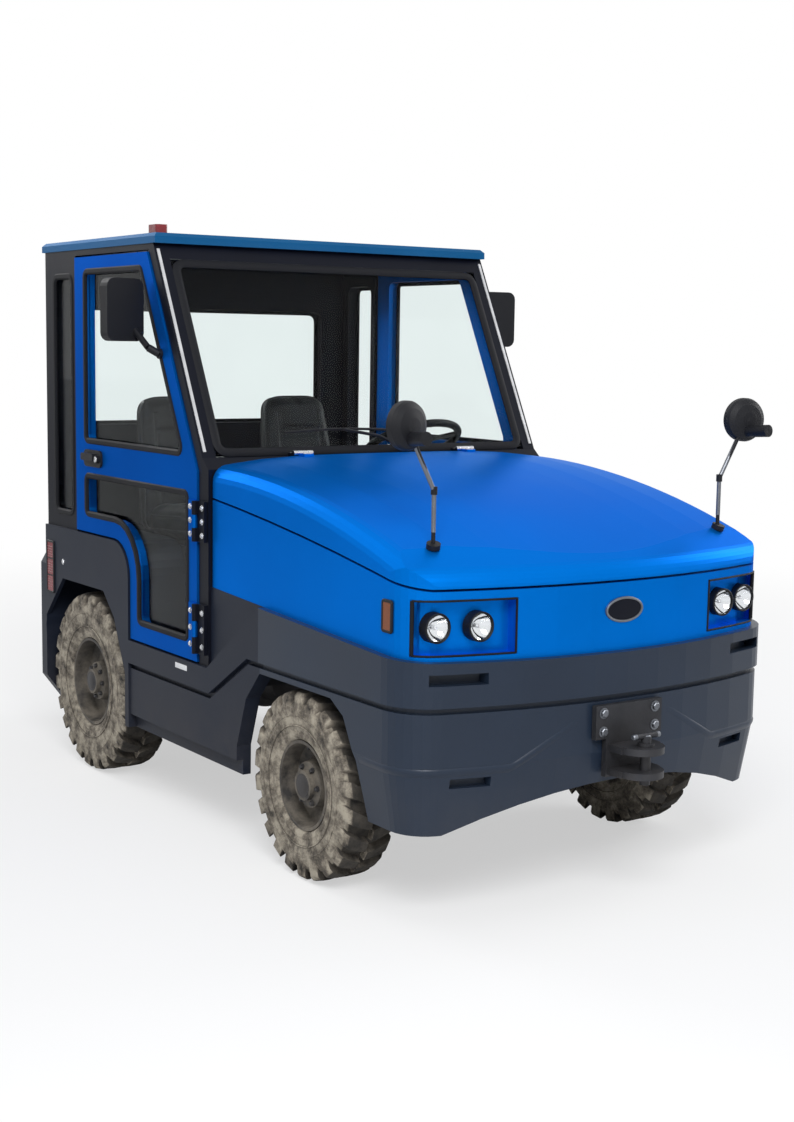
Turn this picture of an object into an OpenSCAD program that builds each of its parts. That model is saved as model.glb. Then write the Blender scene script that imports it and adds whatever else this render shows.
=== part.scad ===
// Airport baggage tug: a four-wheel electric towing tractor with an enclosed cab.
// +X forward, +Y to the driver's left, +Z up. The origin is on the ground, midway between the axles.
// Left pieces are drawn, and right pieces are their mirror images.

/* [Body] */
// Distance between the front and the rear axle
wheelbase = 1550; // [1450:10:1700]
// Width over the body sides, without the mirrors
body_w = 1400; // [1380:10:1480]
// Front axle to the middle of the bowed bumper
front_overhang = 685; // [660:5:740]
// Rear axle to the rear face of the counterweight
rear_overhang = 628; // [610:5:680]
// Radius of the bumper's bow, seen from above
bow_r = 2100; // [1800:50:3000]
// Radius of the bumper's front corners, seen from above
corner_r = 150; // [120:5:180]
// Thickness of the bumper and of the skirts
skirt_t = 58; // [40:2:70]
// How far the blue body lies inside the bumper band
hood_inset = 24; // [10:1:40]
// Sheet thickness of the bonnet and its sides
sheet_t = 12; // [8:1:20]

/* [Heights] */
// Underside of the front bumper at its corners
bumper_z = 262; // [230:2:300]
// Edge where the bumper's lower part starts to draw in
bevel_z = 465; // [430:5:500]
// Lower edge of the bumper band
band_z = 612; // [605:1:630]
// Upper edge of the bumper band at the front
band_top_z = 750; // [735:1:770]
// Rise of that edge over each metre towards the cab
band_rise = 56; // [30:1:80]
// Joint between the bonnet lid and the sides, at the front
split_front_z = 952; // [940:1:960]
// The same joint at the cab
split_cab_z = 1109; // [1095:1:1120]
// Top of the bonnet at the cab
hood_z = 1243; // [1230:1:1255]
// Underside of the side skirts
sill_bottom_z = 238; // [220:2:260]
// Lower edge of the side step
step_z = 455; // [440:1:470]
// Top of the side step
sill_z = 555; // [550:1:560]
// Top of the rear fenders
fender_z = 900; // [890:1:910]
// Top of the roof
roof_z = 1975; // [1965:1:2010]

/* [Wheels] */
// Radius of the front tyres
front_tyre_r = 290; // [280:1:295]
// Width of the front tyres
front_tyre_w = 175; // [165:1:180]
// Radius of the front rims
front_rim_r = 138; // [130:1:145]
// Radius of the rear tyres
rear_tyre_r = 336; // [325:1:340]
// Width of the rear tyres
rear_tyre_w = 190; // [180:1:195]
// Radius of the rear rims
rear_rim_r = 164; // [155:1:170]
// Tyre side inside the body side
tyre_inset = 12; // [10:1:20]
// Gap between a shaft and what turns on it
run_gap = 0.3; // [0.2:0.1:0.5]
// Radius of the wheel spindles
spindle_r = 30; // [26:1:34]

/* [Steering] */
// Steering pivot inside the middle of the front tyre
pivot_inset = 120; // [115:1:130]
// Radius of the steering pivot pin
pivot_r = 16; // [14:1:18]
// Length of the steering arms
arm_l = 125; // [115:1:130]
// Radius of the steering wheel
wheel_rim_r = 190; // [170:5:200]
// Lean of the steering column from upright
column_lean = 28; // [20:1:40]

/* [Cab] */
// Front of the cab's side wall
cab_front_x = 195; // [190:1:200]
// Foot of the windscreen
screen_foot_x = 152; // [145:1:160]
// Height of the windscreen's foot
screen_foot_z = 1238; // [1230:1:1245]
// Top of the windscreen
screen_head_x = -205; // [-240:5:-190]
// Rear face of the cab
cab_rear_x = -1140; // [-1150:1:-1130]
// Thickness of the cab's side walls
wall_t = 50; // [40:1:55]
// Cab side wall inside the body side
cab_inset = 12; // [5:1:20]
// Thickness of the roof
roof_t = 35; // [30:1:50]
// Roof edge ahead of and behind the cab
roof_lip = 22; // [10:1:40]
// Thickness of the window panes
glass_t = 6; // [4:1:8]

/* [Doors] */
// Front edge of the doors
door_front_x = 125; // [118:1:128]
// Rear edge of the doors
door_rear_x = -850; // [-860:1:-840]
// Edge that runs down in front of the rear fender
door_step_x = -386; // [-388:1:-380]
// Radius of the door's sweep over the fender
door_sweep_r = 128; // [110:1:140]
// Thickness of the doors
door_t = 46; // [40:1:50]
// Doors stand proud of the cab wall
door_proud = 6; // [2:1:10]
// Width of the door frame round the windows
stile_w = 62; // [50:1:75]
// Lower edge of the upper window
belt_top_z = 1240; // [1225:1:1255]
// Upper edge of the lower window
belt_low_z = 1122; // [1110:1:1135]
// Clear gap round doors and lid
seam = 7; // [6:1:9]

/* [Hitches] */
// Tip of the front hitch ahead of the front axle
front_reach = 817.5; // [800:2.5:850]
// Tip of the rear hitch behind the rear axle
rear_reach = 817.5; // [800:2.5:850]
// Radius of the hitch pins
hitch_pin_r = 15; // [12:1:18]
// Thickness of the hitch plates
hitch_plate_t = 20; // [16:1:25]
// Clear gap between two hitch plates
hitch_gap = 50; // [40:1:60]
// Height of the lowest plate of the front hitch
front_hitch_z = 400; // [390:2:410]
// Height of the lowest plate of the rear hitch
rear_hitch_z = 170; // [160:2:190]

/* [Hidden] */

slate = [0.27, 0.30, 0.35];
blue = [0.02, 0.36, 0.80];
black = [0.08, 0.08, 0.09];
steel = [0.32, 0.33, 0.35];
rubber = [0.16, 0.16, 0.16];
clear = [0.62, 0.72, 0.76];

far = 4000;
half_w = body_w / 2;
front_axle_x = wheelbase / 2;
rear_axle_x = -wheelbase / 2;
front_x = front_axle_x + front_overhang;
rear_x = rear_axle_x - rear_overhang;
rear_hub_y = half_w - tyre_inset - rear_tyre_w / 2;
front_hub_y = half_w - tyre_inset - front_tyre_w / 2;
seat_gap = 0.3;

// An arc about c, from angle a0 to a1 in n steps
function arc(c, r, a0, a1, n) = [for (i = [0:n]) let (a = a0 + (a1 - a0) * i / n) c + r * [cos(a), sin(a)]];
// A line from p to q that bows to its left by s, in n steps
function bowed(p, q, s, n) =
    let (d = norm(q - p), u = (q - p) / d, v = [-u[1], u[0]], r = (d * d / 4 + s * s) / (2 * s),
        c = (p + q) / 2 - v * (r - s), a = asin(d / 2 / r))
    [for (i = [0:n]) let (t = -a + 2 * a * i / n) c + r * (u * sin(t) + v * cos(t))];
function mirrored(points) = [for (i = [len(points) - 1:-1:0]) [points[i][0], -points[i][1]]];

// Outline of the front body from above, drawn in by inset
bow_x = front_x - bow_r;
corner_y = half_w - corner_r;
corner_x = bow_x + sqrt(pow(bow_r - corner_r, 2) - pow(corner_y, 2));
corner_a = asin(corner_y / (bow_r - corner_r));
bow_steps = 10;
bow_step = 2 * corner_a / bow_steps;
function front_plan(inset, back_x) = concat(
    [[back_x, -half_w + inset]],
    mirrored(arc([corner_x, corner_y], corner_r - inset, corner_a, 90, 7)),
    arc([bow_x, 0], bow_r - inset, -corner_a + bow_step, corner_a - bow_step, bow_steps - 2),
    arc([corner_x, corner_y], corner_r - inset, corner_a, 90, 7),
    [[back_x, half_w - inset]]);

// Outline of the counterweight from above: cut corners and a flat rear face
rear_corner_x = cab_rear_x - 50;
rear_face_y = half_w - 245;
function rear_plan(inset) = [
    [cab_rear_x, -half_w + inset], [cab_rear_x, half_w - inset], [rear_corner_x, half_w - inset],
    [rear_x + inset, rear_face_y - inset / 2], [rear_x + inset, -rear_face_y + inset / 2],
    [rear_corner_x, -half_w + inset]];

module slab(z0, z1) translate([0, 0, z0]) linear_extrude(z1 - z0) children();
// Sweeps a side view (x, z) across the vehicle from y0 to y1
module across(y0, y1) translate([0, y1, 0]) rotate([90, 0, 0]) linear_extrude(y1 - y0) children();
module block(lo, hi) translate(lo) cube(hi - lo);
module both_sides() { children(); mirror([0, 1, 0]) children(); }
module upright(x, y, z0, z1, r) translate([x, y, z0]) cylinder(h = z1 - z0, r = r, $fn = 48);
module sideways(x, y0, y1, z, r) translate([x, y0, z]) rotate([-90, 0, 0])
    cylinder(h = y1 - y0, r = r, $fn = 48);
module lengthways(x0, x1, y, z, r) translate([x0, y, z]) rotate([0, 90, 0])
    cylinder(h = x1 - x0, r = r, $fn = 48);

// Side outlines, as (x, z)
function band_top(x) = band_top_z + (front_x - x) * band_rise / 1000;
band_behind = 230;
band_end_x = front_axle_x - band_behind;
function around(axle, points) = [for (p = points) [axle + p[0], p[1]]];
// Wheel arches: x from the axle, z
front_arch_at = [[-380, -20], [-375, 335], [-317, 499], [-230, 595], [184, 595], [254, 555], [318, 439],
    [341, 268], [341, -20]];
rear_arch_at = [[353, -20], [353, 430], [262, 620], [170, 705], [-201, 705], [-362, 545], [-369, 500],
    [-345, 250], [-345, -20]];
front_arch = around(front_axle_x, front_arch_at);
rear_arch = around(rear_axle_x, rear_arch_at);

// Door outline, grown by g on every side
roof_under = roof_z - roof_t;
head_rail = 28;
door_top_z = roof_under - head_rail;
screen_run = (screen_foot_x - screen_head_x) / (roof_under - screen_foot_z);
screen_lean = atan(screen_run);
pillar_x = 50;
function screen_x(z) = screen_foot_x - (z - screen_foot_z) * screen_run;
function lean_x(z, g) = screen_x(z) - pillar_x + g / cos(screen_lean);
function lean_z(x, g) = screen_foot_z + (screen_foot_x - pillar_x + g / cos(screen_lean) - x) / screen_run;
sweep_c = [door_step_x - door_sweep_r, fender_z + seam - door_sweep_r];
function door_outline(g) = concat(
    [[door_front_x + g, sill_z + seam - g], [door_front_x + g, lean_z(door_front_x + g, g)],
    [lean_x(door_top_z + g, g), door_top_z + g], [door_rear_x - g, door_top_z + g],
    [door_rear_x - g, fender_z + seam - g]],
    arc(sweep_c, door_sweep_r - g, 90, 0, 6), [[door_step_x - g, sill_z + seam - g]]);
handle_stile_w = stile_w + 20;
upper_window = [[lean_x(belt_top_z, -stile_w), belt_top_z], [lean_x(door_top_z - stile_w + 14, -stile_w),
    door_top_z - stile_w + 14], [door_rear_x + handle_stile_w, door_top_z - stile_w + 14],
    [door_rear_x + handle_stile_w, belt_top_z]];
lower_window = concat([[door_front_x - stile_w, sill_z + seam + stile_w], [door_front_x - stile_w, belt_low_z],
    [door_rear_x + handle_stile_w, belt_low_z], [door_rear_x + handle_stile_w, fender_z + seam + stile_w]],
    arc(sweep_c, door_sweep_r + stile_w, 90, 0, 6), [[door_step_x + stile_w, sill_z + seam + stile_w]]);
quarter_window = [[-888, 958], [-888, 1850], [-1062, 1850], [-1062, 958]];
module eased(r) offset(r = r, $fn = 16) offset(delta = -r) children();

// Chassis rails with the cross members between them
rail_y0 = 240;
rail_y1 = 300;
rail_z = 430;
floor_z = 545;
floor_t = 15;
member_w = 60;
front_member_x = front_axle_x + 545;
module chassis_frame() color(steel) {
    intersection() {
        union() {
            both_sides() block([cab_rear_x, rail_y0, rail_z], [far, rail_y1, floor_z]);
            for (x = [cab_rear_x + member_w / 2, motor_x - 10, cab_front_x - 45, front_member_x])
                block([x - member_w / 2, -rail_y0, rail_z + 15], [x + member_w / 2, rail_y0, floor_z - 15]);
            for (x = [skirt_rear_x + 68, cab_front_x - 50]) both_sides()
                block([x - member_w / 2, rail_y1, rail_z + 35], [x + member_w / 2, skirt_y, floor_z]);
        }
        slab(0, far) polygon(front_plan(skirt_t, -far));
    }
}

// Bumper: band, groove and lower part, drawn in towards its lower edge
skirt_y = half_w - skirt_t;
groove_h = 18;
groove_d = 20;
lower_inset = 6;
bevel_inset = 40;
nose_arch_y = half_w - 135;
nose_arch_h = 112;
// Slots in the bumper: y from, y to, z from, z to, depth
bumper_slots = [[half_w - 238, half_w - 72, 692, 724, 42], [half_w - 260, half_w - 140, 400, 428, 44]];
// Cuts such a slot into a skin that lies inside the bumper by base
module skin_cut(slot, base)
    intersection() {
        slab(slot[2], slot[3]) difference() {
            polygon(front_plan(base - 20, 400));
            polygon(front_plan(base + slot[4], 0));
        }
        block([corner_x + 50, slot[0], 0], [far, slot[1], far]);
    }
module front_bumper() color(slate) difference() {
    union() {
        slab(band_z + groove_h, band_top_z + 100) polygon(front_plan(0, band_end_x));
        slab(band_z, band_z + groove_h) polygon(front_plan(groove_d, band_end_x));
        slab(bevel_z, band_z) polygon(front_plan(lower_inset, band_end_x));
        hull() {
            slab(bevel_z - 1, bevel_z) polygon(front_plan(lower_inset, band_end_x));
            slab(bumper_z, bumper_z + 1) polygon(front_plan(bevel_inset, band_end_x));
        }
    }
    slab(0, far) polygon(front_plan(skirt_t, -far));
    across(-far, far) polygon([[0, band_top(0)], [far, band_top(far)], [far, far], [0, far]]);
    across(-far, far) polygon(front_arch);
    rotate([90, 0, 90]) linear_extrude(far) polygon(concat([[-nose_arch_y, 0]],
        bowed([-nose_arch_y, bumper_z], [nose_arch_y, bumper_z], nose_arch_h, 10), [[nose_arch_y, 0]]));
    both_sides() for (slot = bumper_slots) skin_cut(slot, 0);
}

// Side skirt between the wheels, with the cheek below the blue side
function band_under(x) = band_z - (band_end_x - 74 - x) * (band_z - step_z) / 255;
skirt_rear_x = door_step_x - seam;
cheek_inset = 22;
toe_z = sill_bottom_z + 50;
module side_skirts() color(slate) both_sides() difference() {
    union() {
        across(skirt_y, half_w) polygon([[band_end_x, band_z + groove_h], [band_end_x - 74, band_z + groove_h],
            [band_end_x - 329, step_z + groove_h], [skirt_rear_x, step_z + groove_h], [skirt_rear_x, sill_z],
            [cab_front_x + 8, sill_z], [band_end_x - 6, band_top(band_end_x)],
            [band_end_x, band_top(band_end_x)]]);
        across(skirt_y, half_w - lower_inset) polygon([[band_end_x, toe_z], [band_end_x, band_z],
            [band_end_x - 74, band_z], [band_end_x - 329, step_z], [skirt_rear_x, step_z],
            [skirt_rear_x, toe_z]]);
        across(skirt_y, half_w - groove_d) polygon([[band_end_x, toe_z], [band_end_x, band_z + 20],
            [band_end_x - 74, band_z + 20], [band_end_x - 329, step_z + 20], [skirt_rear_x, step_z + 20],
            [skirt_rear_x, toe_z]]);
        across(skirt_y, half_w - 30) polygon([[band_end_x, sill_bottom_z], [band_end_x, toe_z + 10],
            [skirt_rear_x, toe_z + 10], [skirt_rear_x, sill_bottom_z]]);
        across(skirt_y, half_w - cheek_inset) polygon([[cab_front_x, sill_z - 20],
            [cab_front_x, band_top(cab_front_x)], [band_end_x, band_top(band_end_x)], [band_end_x, 700]]);
    }
    across(0, far) polygon(front_arch);
}

// Rear fender: a sheet over the wheel and beside it, open below
fender_t = 16;
house_y = rear_hub_y - rear_tyre_w / 2 - 28;
function fender_outline(g, z0) = concat([[skirt_rear_x - g, z0]],
    arc(sweep_c, door_sweep_r - seam - g, 0, 90, 7), [[cab_rear_x, fender_z - g], [cab_rear_x, z0]]);
// Tail lamp pocket: x from, x to, z from, z to
tail_lamp = [-1118, -1056, 640, 836];
module tail_shape(g) translate([tail_lamp[0] - g, tail_lamp[2] - g])
    square([tail_lamp[1] - tail_lamp[0] + 2 * g, tail_lamp[3] - tail_lamp[2] + 2 * g]);
module rear_fenders() color(slate) both_sides() difference() {
    across(house_y, half_w) polygon(fender_outline(0, sill_bottom_z));
    across(0, half_w - fender_t) polygon(fender_outline(fender_t, 0));
    across(0, far) polygon(rear_arch);
    block([cab_rear_x - 1, 0, 0], [rear_axle_x, far, floor_z]);
    across(half_w - 10, far) tail_shape(0);
}

// Counterweight across the rear, with bevels above and below its face
face_low_z = 300;
face_high_z = 745;
weight_low_z = 200;
weight_high_z = 850;
module rear_counterweight() color(slate) difference() {
    union() {
        slab(face_low_z, face_high_z) polygon(rear_plan(0));
        hull() {
            slab(face_low_z, face_low_z + 1) polygon(rear_plan(0));
            slab(weight_low_z, weight_low_z + 1) polygon(rear_plan(75));
        }
        hull() {
            slab(face_high_z - 1, face_high_z) polygon(rear_plan(0));
            slab(weight_high_z - 1, weight_high_z) polygon(rear_plan(60));
        }
    }
    both_sides() across(house_y, far) polygon(rear_arch);
}
module rear_deck() color(blue) intersection() {
    across(-far, far) polygon([[cab_rear_x, weight_high_z], [cab_rear_x, weight_high_z + 82],
        [cab_rear_x - 105, weight_high_z + 50], [rear_x + 68, weight_high_z]]);
    slab(0, far) polygon(rear_plan(62));
}

// Blue sides and front below the lid
hood_rear_x = cab_front_x + seam;
split_nose_x = corner_x + 110;
split_bow = 13;
fascia_t = 80;
function split_line(dz) = concat(
    [for (p = bowed([hood_rear_x - 20, split_cab_z + 2], [split_nose_x, split_front_z], split_bow, 6))
        [p[0], p[1] + dz]], [[far, split_front_z + dz]]);
// Corner lamp pocket in the side
marker_back = 450;
marker_at = [front_axle_x + marker_back, 872];
marker_size = [44, 84];
module marker_shape() translate(marker_at) square(marker_size, center = true);
// Headlamp recess: y from, y to, z from, z to, depth
recess = [half_w - 338, half_w - 45, 768, 926, 42];
module bonnet_sides() color(blue) difference() {
    intersection() {
        slab(band_z, split_cab_z + 50) polygon(front_plan(hood_inset, hood_rear_x));
        across(-far, far) polygon(concat([[far, band_top(far)], [0, band_top(0)]], split_line(-seam / 2)));
    }
    intersection() {
        slab(0, far) polygon(front_plan(hood_inset + sheet_t, -far));
        translate([-fascia_t, 0, 0]) slab(0, far) polygon(front_plan(hood_inset, -far));
    }
    both_sides() {
        skin_cut(recess, hood_inset);
        across(half_w - hood_inset - 8, far) marker_shape();
        for (y = lamp_rows) lengthways(face_x(y, hood_inset + recess[4]) - lamp_seat - seat_gap, far, y, lamp_z,
            lamp_r + seat_gap);
    }
}

// Bonnet lid: a crowned shell hinged at the cab
crown_r = 3300;
crown_level_x = cab_front_x + 5;
crown_rise = 24;
shoulder_r = 55;
crown_z = hood_z - sqrt(pow(crown_r, 2) - pow(hood_rear_x - crown_level_x, 2));
lid_y = half_w - hood_inset;
nose_r = 70;
nose_slope = 30;
nose_drop = 5;
function crown_at(x) = crown_z + sqrt(pow(crown_r, 2) - pow(x - crown_level_x, 2));
function nose_edge() = let (r = bow_r - hood_inset - nose_r, x = bow_x + r + nose_r * sin(nose_slope),
    z = crown_at(x) - nose_drop - nose_r * cos(nose_slope), e = arc([r, z], nose_r, 0, 90 - nose_slope, 6))
    concat([[0, 0], [r + nose_r, 0]], e, [[0, e[6][1] + e[6][0] * tan(nose_slope)]]);
flat_y = lid_y - shoulder_r;
crown_edge_a = 6;
// How far the crown lies below its middle: y, drop
crown_drop = concat([for (i = [0:4]) [i / 5 * flat_y, crown_rise * pow(i / 5, 4)]],
    [[flat_y + shoulder_r * sin(crown_edge_a), crown_rise + shoulder_r * (1 - cos(crown_edge_a))]]);
function lid_top(x, y) = crown_z + sqrt(pow(crown_r - lookup(y, crown_drop), 2) - pow(x - crown_level_x, 2));
module crown(t) translate([crown_level_x, 0, crown_z]) rotate([90, 0, 0]) rotate_extrude($fn = 400)
    polygon(concat([[crown_r - 600, -lid_y + t]],
        arc([crown_r - crown_rise - shoulder_r, -flat_y], shoulder_r - t, -90, -crown_edge_a, 5),
        [for (i = [-4:4]) [crown_r - t - crown_drop[abs(i)][1], sign(i) * crown_drop[abs(i)][0]]],
        arc([crown_r - crown_rise - shoulder_r, flat_y], shoulder_r - t, crown_edge_a, 90, 5),
        [[crown_r - 600, lid_y - t]]));
module nose_cap() translate([bow_x, 0, 0]) rotate_extrude($fn = 400) polygon(nose_edge());
module crowned(t) intersection() {
    crown(t);
    slab(split_front_z - 40, hood_z + 20) polygon(front_plan(hood_inset + t, hood_rear_x + t));
}
hinge_x = cab_front_x + 1;
hinge_z = hood_z + 6;
hinge_y = 335;
hinge_r = 8;
// Bonnet hinges: half length of the middle barrel, of the whole hinge, pin radius
hinge_mid = 18;
hinge_half = 36;
hinge_pin_r = 4;
module bonnet_hinge_fixed() for (s = [0, 1]) mirror([0, s, 0]) translate([0, hinge_y, 0]) {
    sideways(hinge_x, -hinge_half, hinge_half, hinge_z, hinge_pin_r);
    for (y = [-hinge_half, hinge_mid + 1]) {
        sideways(hinge_x, y, y + hinge_half - hinge_mid - 1, hinge_z, hinge_r);
        block([hinge_x - 34, y, hinge_z - hinge_r], [hinge_x, y + hinge_half - hinge_mid - 1, hinge_z]);
    }
}
module bonnet_lid() color(blue) difference() {
    union() {
        lid_shell();
        both_sides() {
            sideways(hinge_x, hinge_y - hinge_mid, hinge_y + hinge_mid, hinge_z, hinge_r);
            block([hinge_x, hinge_y - hinge_mid, hinge_z - hinge_r - 14],
                [hinge_x + 42, hinge_y + hinge_mid, hinge_z - 1]);
        }
    }
    both_sides() sideways(hinge_x, hinge_y - hinge_half, hinge_y + hinge_half, hinge_z, hinge_pin_r + run_gap);
}
module lid_shell() {
    difference() {
        intersection() {
            crowned(0);
            nose_cap();
        }
        intersection() {
            crowned(sheet_t);
            translate([0, 0, -sheet_t]) nose_cap();
            block([0, -far, 0], [front_x - hood_inset - nose_r, far, far]);
        }
        across(-far, far) polygon(concat([[far, 0], [0, 0]], split_line(seam / 2)));
    }
}

// A round rod from p to q
module rod(p, q, r) let (d = q - p) translate(p)
    rotate([0, acos(d[2] / norm(d)), atan2(d[1], d[0])]) cylinder(h = norm(d), r = r, $fn = 32);

// Mirrors on poles at the bonnet's front corners
pole_ahead = 475;
pole_x = front_axle_x + pole_ahead;
pole_y = half_w - 155;
pole_r = 6;
pole_kink_z = 1215;
pole_head = [pole_x + 8, half_w - 60, 1395];
pole_foot = [pole_x, pole_y, lid_top(pole_x, pole_y)];
// Square to the bonnet's crown at the foot
crown_up = [lid_top(pole_x - 1, pole_y) - lid_top(pole_x, pole_y),
    lid_top(pole_x, pole_y) - lid_top(pole_x, pole_y + 1), 1];
// Pole mirror heads: radius, thickness
head_r = 68;
head_t = 34;
module pole_mirrors() color(black) both_sides() {
    rod(pole_foot + seat_gap * crown_up, pole_foot + 14 * crown_up, 20);
    upright(pole_x, pole_y, pole_foot[2] + pole_r, pole_kink_z, pole_r);
    rod([pole_x, pole_y, pole_kink_z - 2], pole_head - [0, 8, 20], pole_r);
    translate(pole_head) rotate([0, 90, -12]) rotate_extrude($fn = 64) polygon(concat([[0, -head_t / 2],
        [head_r, -head_t / 2], [head_r, 0]], [for (a = [20:25:70]) [head_r * cos(a), head_t * 0.75 * sin(a)]],
        [[0, head_t * 0.75]]));
    rod(pole_head + [10, 0, -35], pole_head + [95, 6, -30], 19);
}

// Lamps
lamp_z = 846;
lamp_r = 43;
lamp_rows = [half_w - 238, half_w - 115];
function face_x(y, inset) = bow_x + sqrt(pow(bow_r - inset, 2) - y * y);
lamp_l = 36;
// Depth that a lamp sits in its wall, and the width and the height of its bezel
lamp_seat = 4;
bezel = [6, 3];
module headlamps() color(clear) both_sides() for (y = lamp_rows)
    translate([face_x(y, hood_inset + recess[4]) - lamp_seat, y, lamp_z]) rotate([0, 90, 0])
        rotate_extrude($fn = 64) polygon([[0, 0], [lamp_r, 0], [lamp_r, lamp_l - bezel[1]],
            [lamp_r - bezel[0] / 2, lamp_l], [lamp_r - bezel[0], lamp_l - bezel[1]],
            [lamp_r / 2, lamp_l - 1.5], [0, lamp_l - 1]]);
module corner_lamps() color("orange") both_sides()
    across(half_w - hood_inset - 8, half_w - hood_inset + 4) offset(delta = -seat_gap) marker_shape();
// Marker lamp on the roof's right front corner: x, y, length, width, height; and the depth of its seat
roof_lamp = [screen_head_x - 60, 60 - half_w, 72, 44, 30];
roof_lamp_seat = 3;
module roof_lamp_shape(g) translate([roof_lamp[0], roof_lamp[1]]) offset(delta = g)
    eased(12) square([roof_lamp[2], roof_lamp[3]], center = true);
module rear_and_roof_lamps() color("darkred") {
    both_sides() across(half_w - 10, half_w + 4) tail_shape(-1);
    slab(roof_z - roof_lamp_seat + seat_gap, roof_z + roof_lamp[4]) roof_lamp_shape(0);
}

// Hitches: plates with a drop pin through them
plate_half_y = 75;
pin_back = 47;
module jaw(tip_x, root_x, z) difference() {
    intersection() {
        block([root_x, -plate_half_y, z], [tip_x, plate_half_y, z + hitch_plate_t]);
        union() {
            upright(tip_x - pin_back - 20, 0, 0, far, pin_back + 20);
            block([root_x, -plate_half_y, 0], [tip_x - pin_back - 20, plate_half_y, far]);
        }
    }
    upright(tip_x - pin_back, 0, 0, far, hitch_pin_r + run_gap);
}
// Drop pin through plates from z0 to z1, with a collar and a cross handle
module drop_pin(x, z0, z1) color(steel) {
    upright(x, 0, z0 - 22, z1 + 30, hitch_pin_r);
    upright(x, 0, z1 + seat_gap, z1 + 10, hitch_pin_r + 9);
    sideways(x, -48, 48, z1 + 30, 8);
}
hitch_step = hitch_plate_t + hitch_gap;
front_tip_x = front_axle_x + front_reach;
mount_plate_x = front_x - lower_inset + seat_gap;
mount_plate_t = 18;
module front_hitch() color(steel) {
    block([mount_plate_x, -125, 506], [mount_plate_x + mount_plate_t, 125, band_z - 8]);
    block([mount_plate_x, -plate_half_y - 10, front_hitch_z - 6],
        [mount_plate_x + mount_plate_t, plate_half_y + 10, 506]);
    for (z = [front_hitch_z, front_hitch_z + hitch_step]) jaw(front_tip_x, mount_plate_x + 2, z);
}
module front_hitch_pin() drop_pin(front_tip_x - pin_back, front_hitch_z,
    front_hitch_z + hitch_step + hitch_plate_t);
rear_tip_x = rear_axle_x - rear_reach;
rear_steps = 4;
module rear_hitch() color(steel) mirror([1, 0, 0]) {
    top = rear_hitch_z + (rear_steps - 1) * hitch_step;
    for (i = [0:rear_steps - 1]) jaw(-rear_tip_x, -rear_x + 14, rear_hitch_z + i * hitch_step);
    block([-rear_x, -plate_half_y - 30, rear_hitch_z - 10], [-rear_x + 24, plate_half_y + 30, top + 45]);
}
module rear_hitch_pin() drop_pin(rear_tip_x + pin_back, rear_hitch_z,
    rear_hitch_z + (rear_steps - 1) * hitch_step + hitch_plate_t);

// Door hinges: z from, z to of the upper and the lower one
hinge_rows = [[965, 1098], [593, 758]];
door_hinge_r = 9;
door_pin_r = 5;
leaf_t = 6;
module door_leaf(z0, z1) let (third = (z1 - z0) / 3) difference() {
    union() {
        block([door_hinge_x - 56, door_y1, z0], [door_hinge_x - 13, door_y1 + leaf_t, z1]);
        block([door_hinge_x - 14, door_y1 + 1, z0 + third + 1], [door_hinge_x, door_hinge_y, z1 - third - 1]);
        upright(door_hinge_x, door_hinge_y, z0 + third + 1, z1 - third - 1, door_hinge_r);
    }
    upright(door_hinge_x, door_hinge_y, z0, z1, door_pin_r + run_gap);
}
module door_hinges() both_sides() for (row = hinge_rows) let (third = (row[1] - row[0]) / 3) {
    block([door_hinge_x + 10, wall_y, row[0]], [door_hinge_x + 54, wall_y + leaf_t + door_proud, row[1]]);
    upright(door_hinge_x, door_hinge_y, row[0], row[1], door_pin_r);
    for (z = [row[0], row[1] - third]) {
        upright(door_hinge_x, door_hinge_y, z, z + third, door_hinge_r);
        block([door_hinge_x, door_hinge_y - door_hinge_r, z], [door_hinge_x + 12, door_hinge_y, z + third]);
    }
}

// Cab: side walls round the door openings, header, cowl and firewall
wall_y = half_w - cab_inset;
inner_y = wall_y - wall_t;
cowl_z = hood_z - 40;
header_z = 1888;
module cab_frame() color(black) {
    both_sides() difference() {
        across(inner_y, wall_y) polygon([[cab_front_x, sill_z], [cab_front_x, cowl_z],
            [screen_foot_x, screen_foot_z], [screen_head_x, roof_under], [cab_rear_x, roof_under],
            [cab_rear_x, fender_z], [door_rear_x - seam, fender_z], [door_rear_x + 60, belt_low_z],
            [door_front_x - 60, belt_low_z], [door_front_x + seam, sill_z]]);
        across(0, far) polygon(door_outline(seam));
        across(0, far) eased(34) polygon(quarter_window);
    }
    across(-inner_y, inner_y) polygon([[screen_x(header_z), header_z], [screen_head_x, roof_under],
        [screen_head_x - 130, roof_under], [screen_head_x - 130, roof_under - 20],
        [screen_x(header_z) - 45, header_z]]);
    across(-inner_y, inner_y) polygon([[cab_front_x, sill_z], [cab_front_x, cowl_z],
        [screen_foot_x, screen_foot_z], [screen_foot_x - 45, screen_foot_z], [cab_front_x - 70, cowl_z - 60],
        [cab_front_x - 12, cowl_z - 60],
        [cab_front_x - 12, sill_z]]);
    door_hinges();
    bonnet_hinge_fixed();
    both_sides() block([hinge_x - 34, hinge_y - hinge_half, cowl_z - 10],
        [hinge_x - 14, hinge_y + hinge_half, hinge_z - hinge_r + 1]);
}
rear_window_y = inner_y - 110;
rear_window = [1284, 1742];
rear_wall_t = 40;
module rear_window_shape(g) eased(40) translate([-rear_window_y - g, rear_window[0] - g])
    square([2 * rear_window_y + 2 * g, rear_window[1] - rear_window[0] + 2 * g]);
module facing_rear(x, t) translate([x, 0, 0]) rotate([90, 0, 90]) linear_extrude(t) children();
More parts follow.
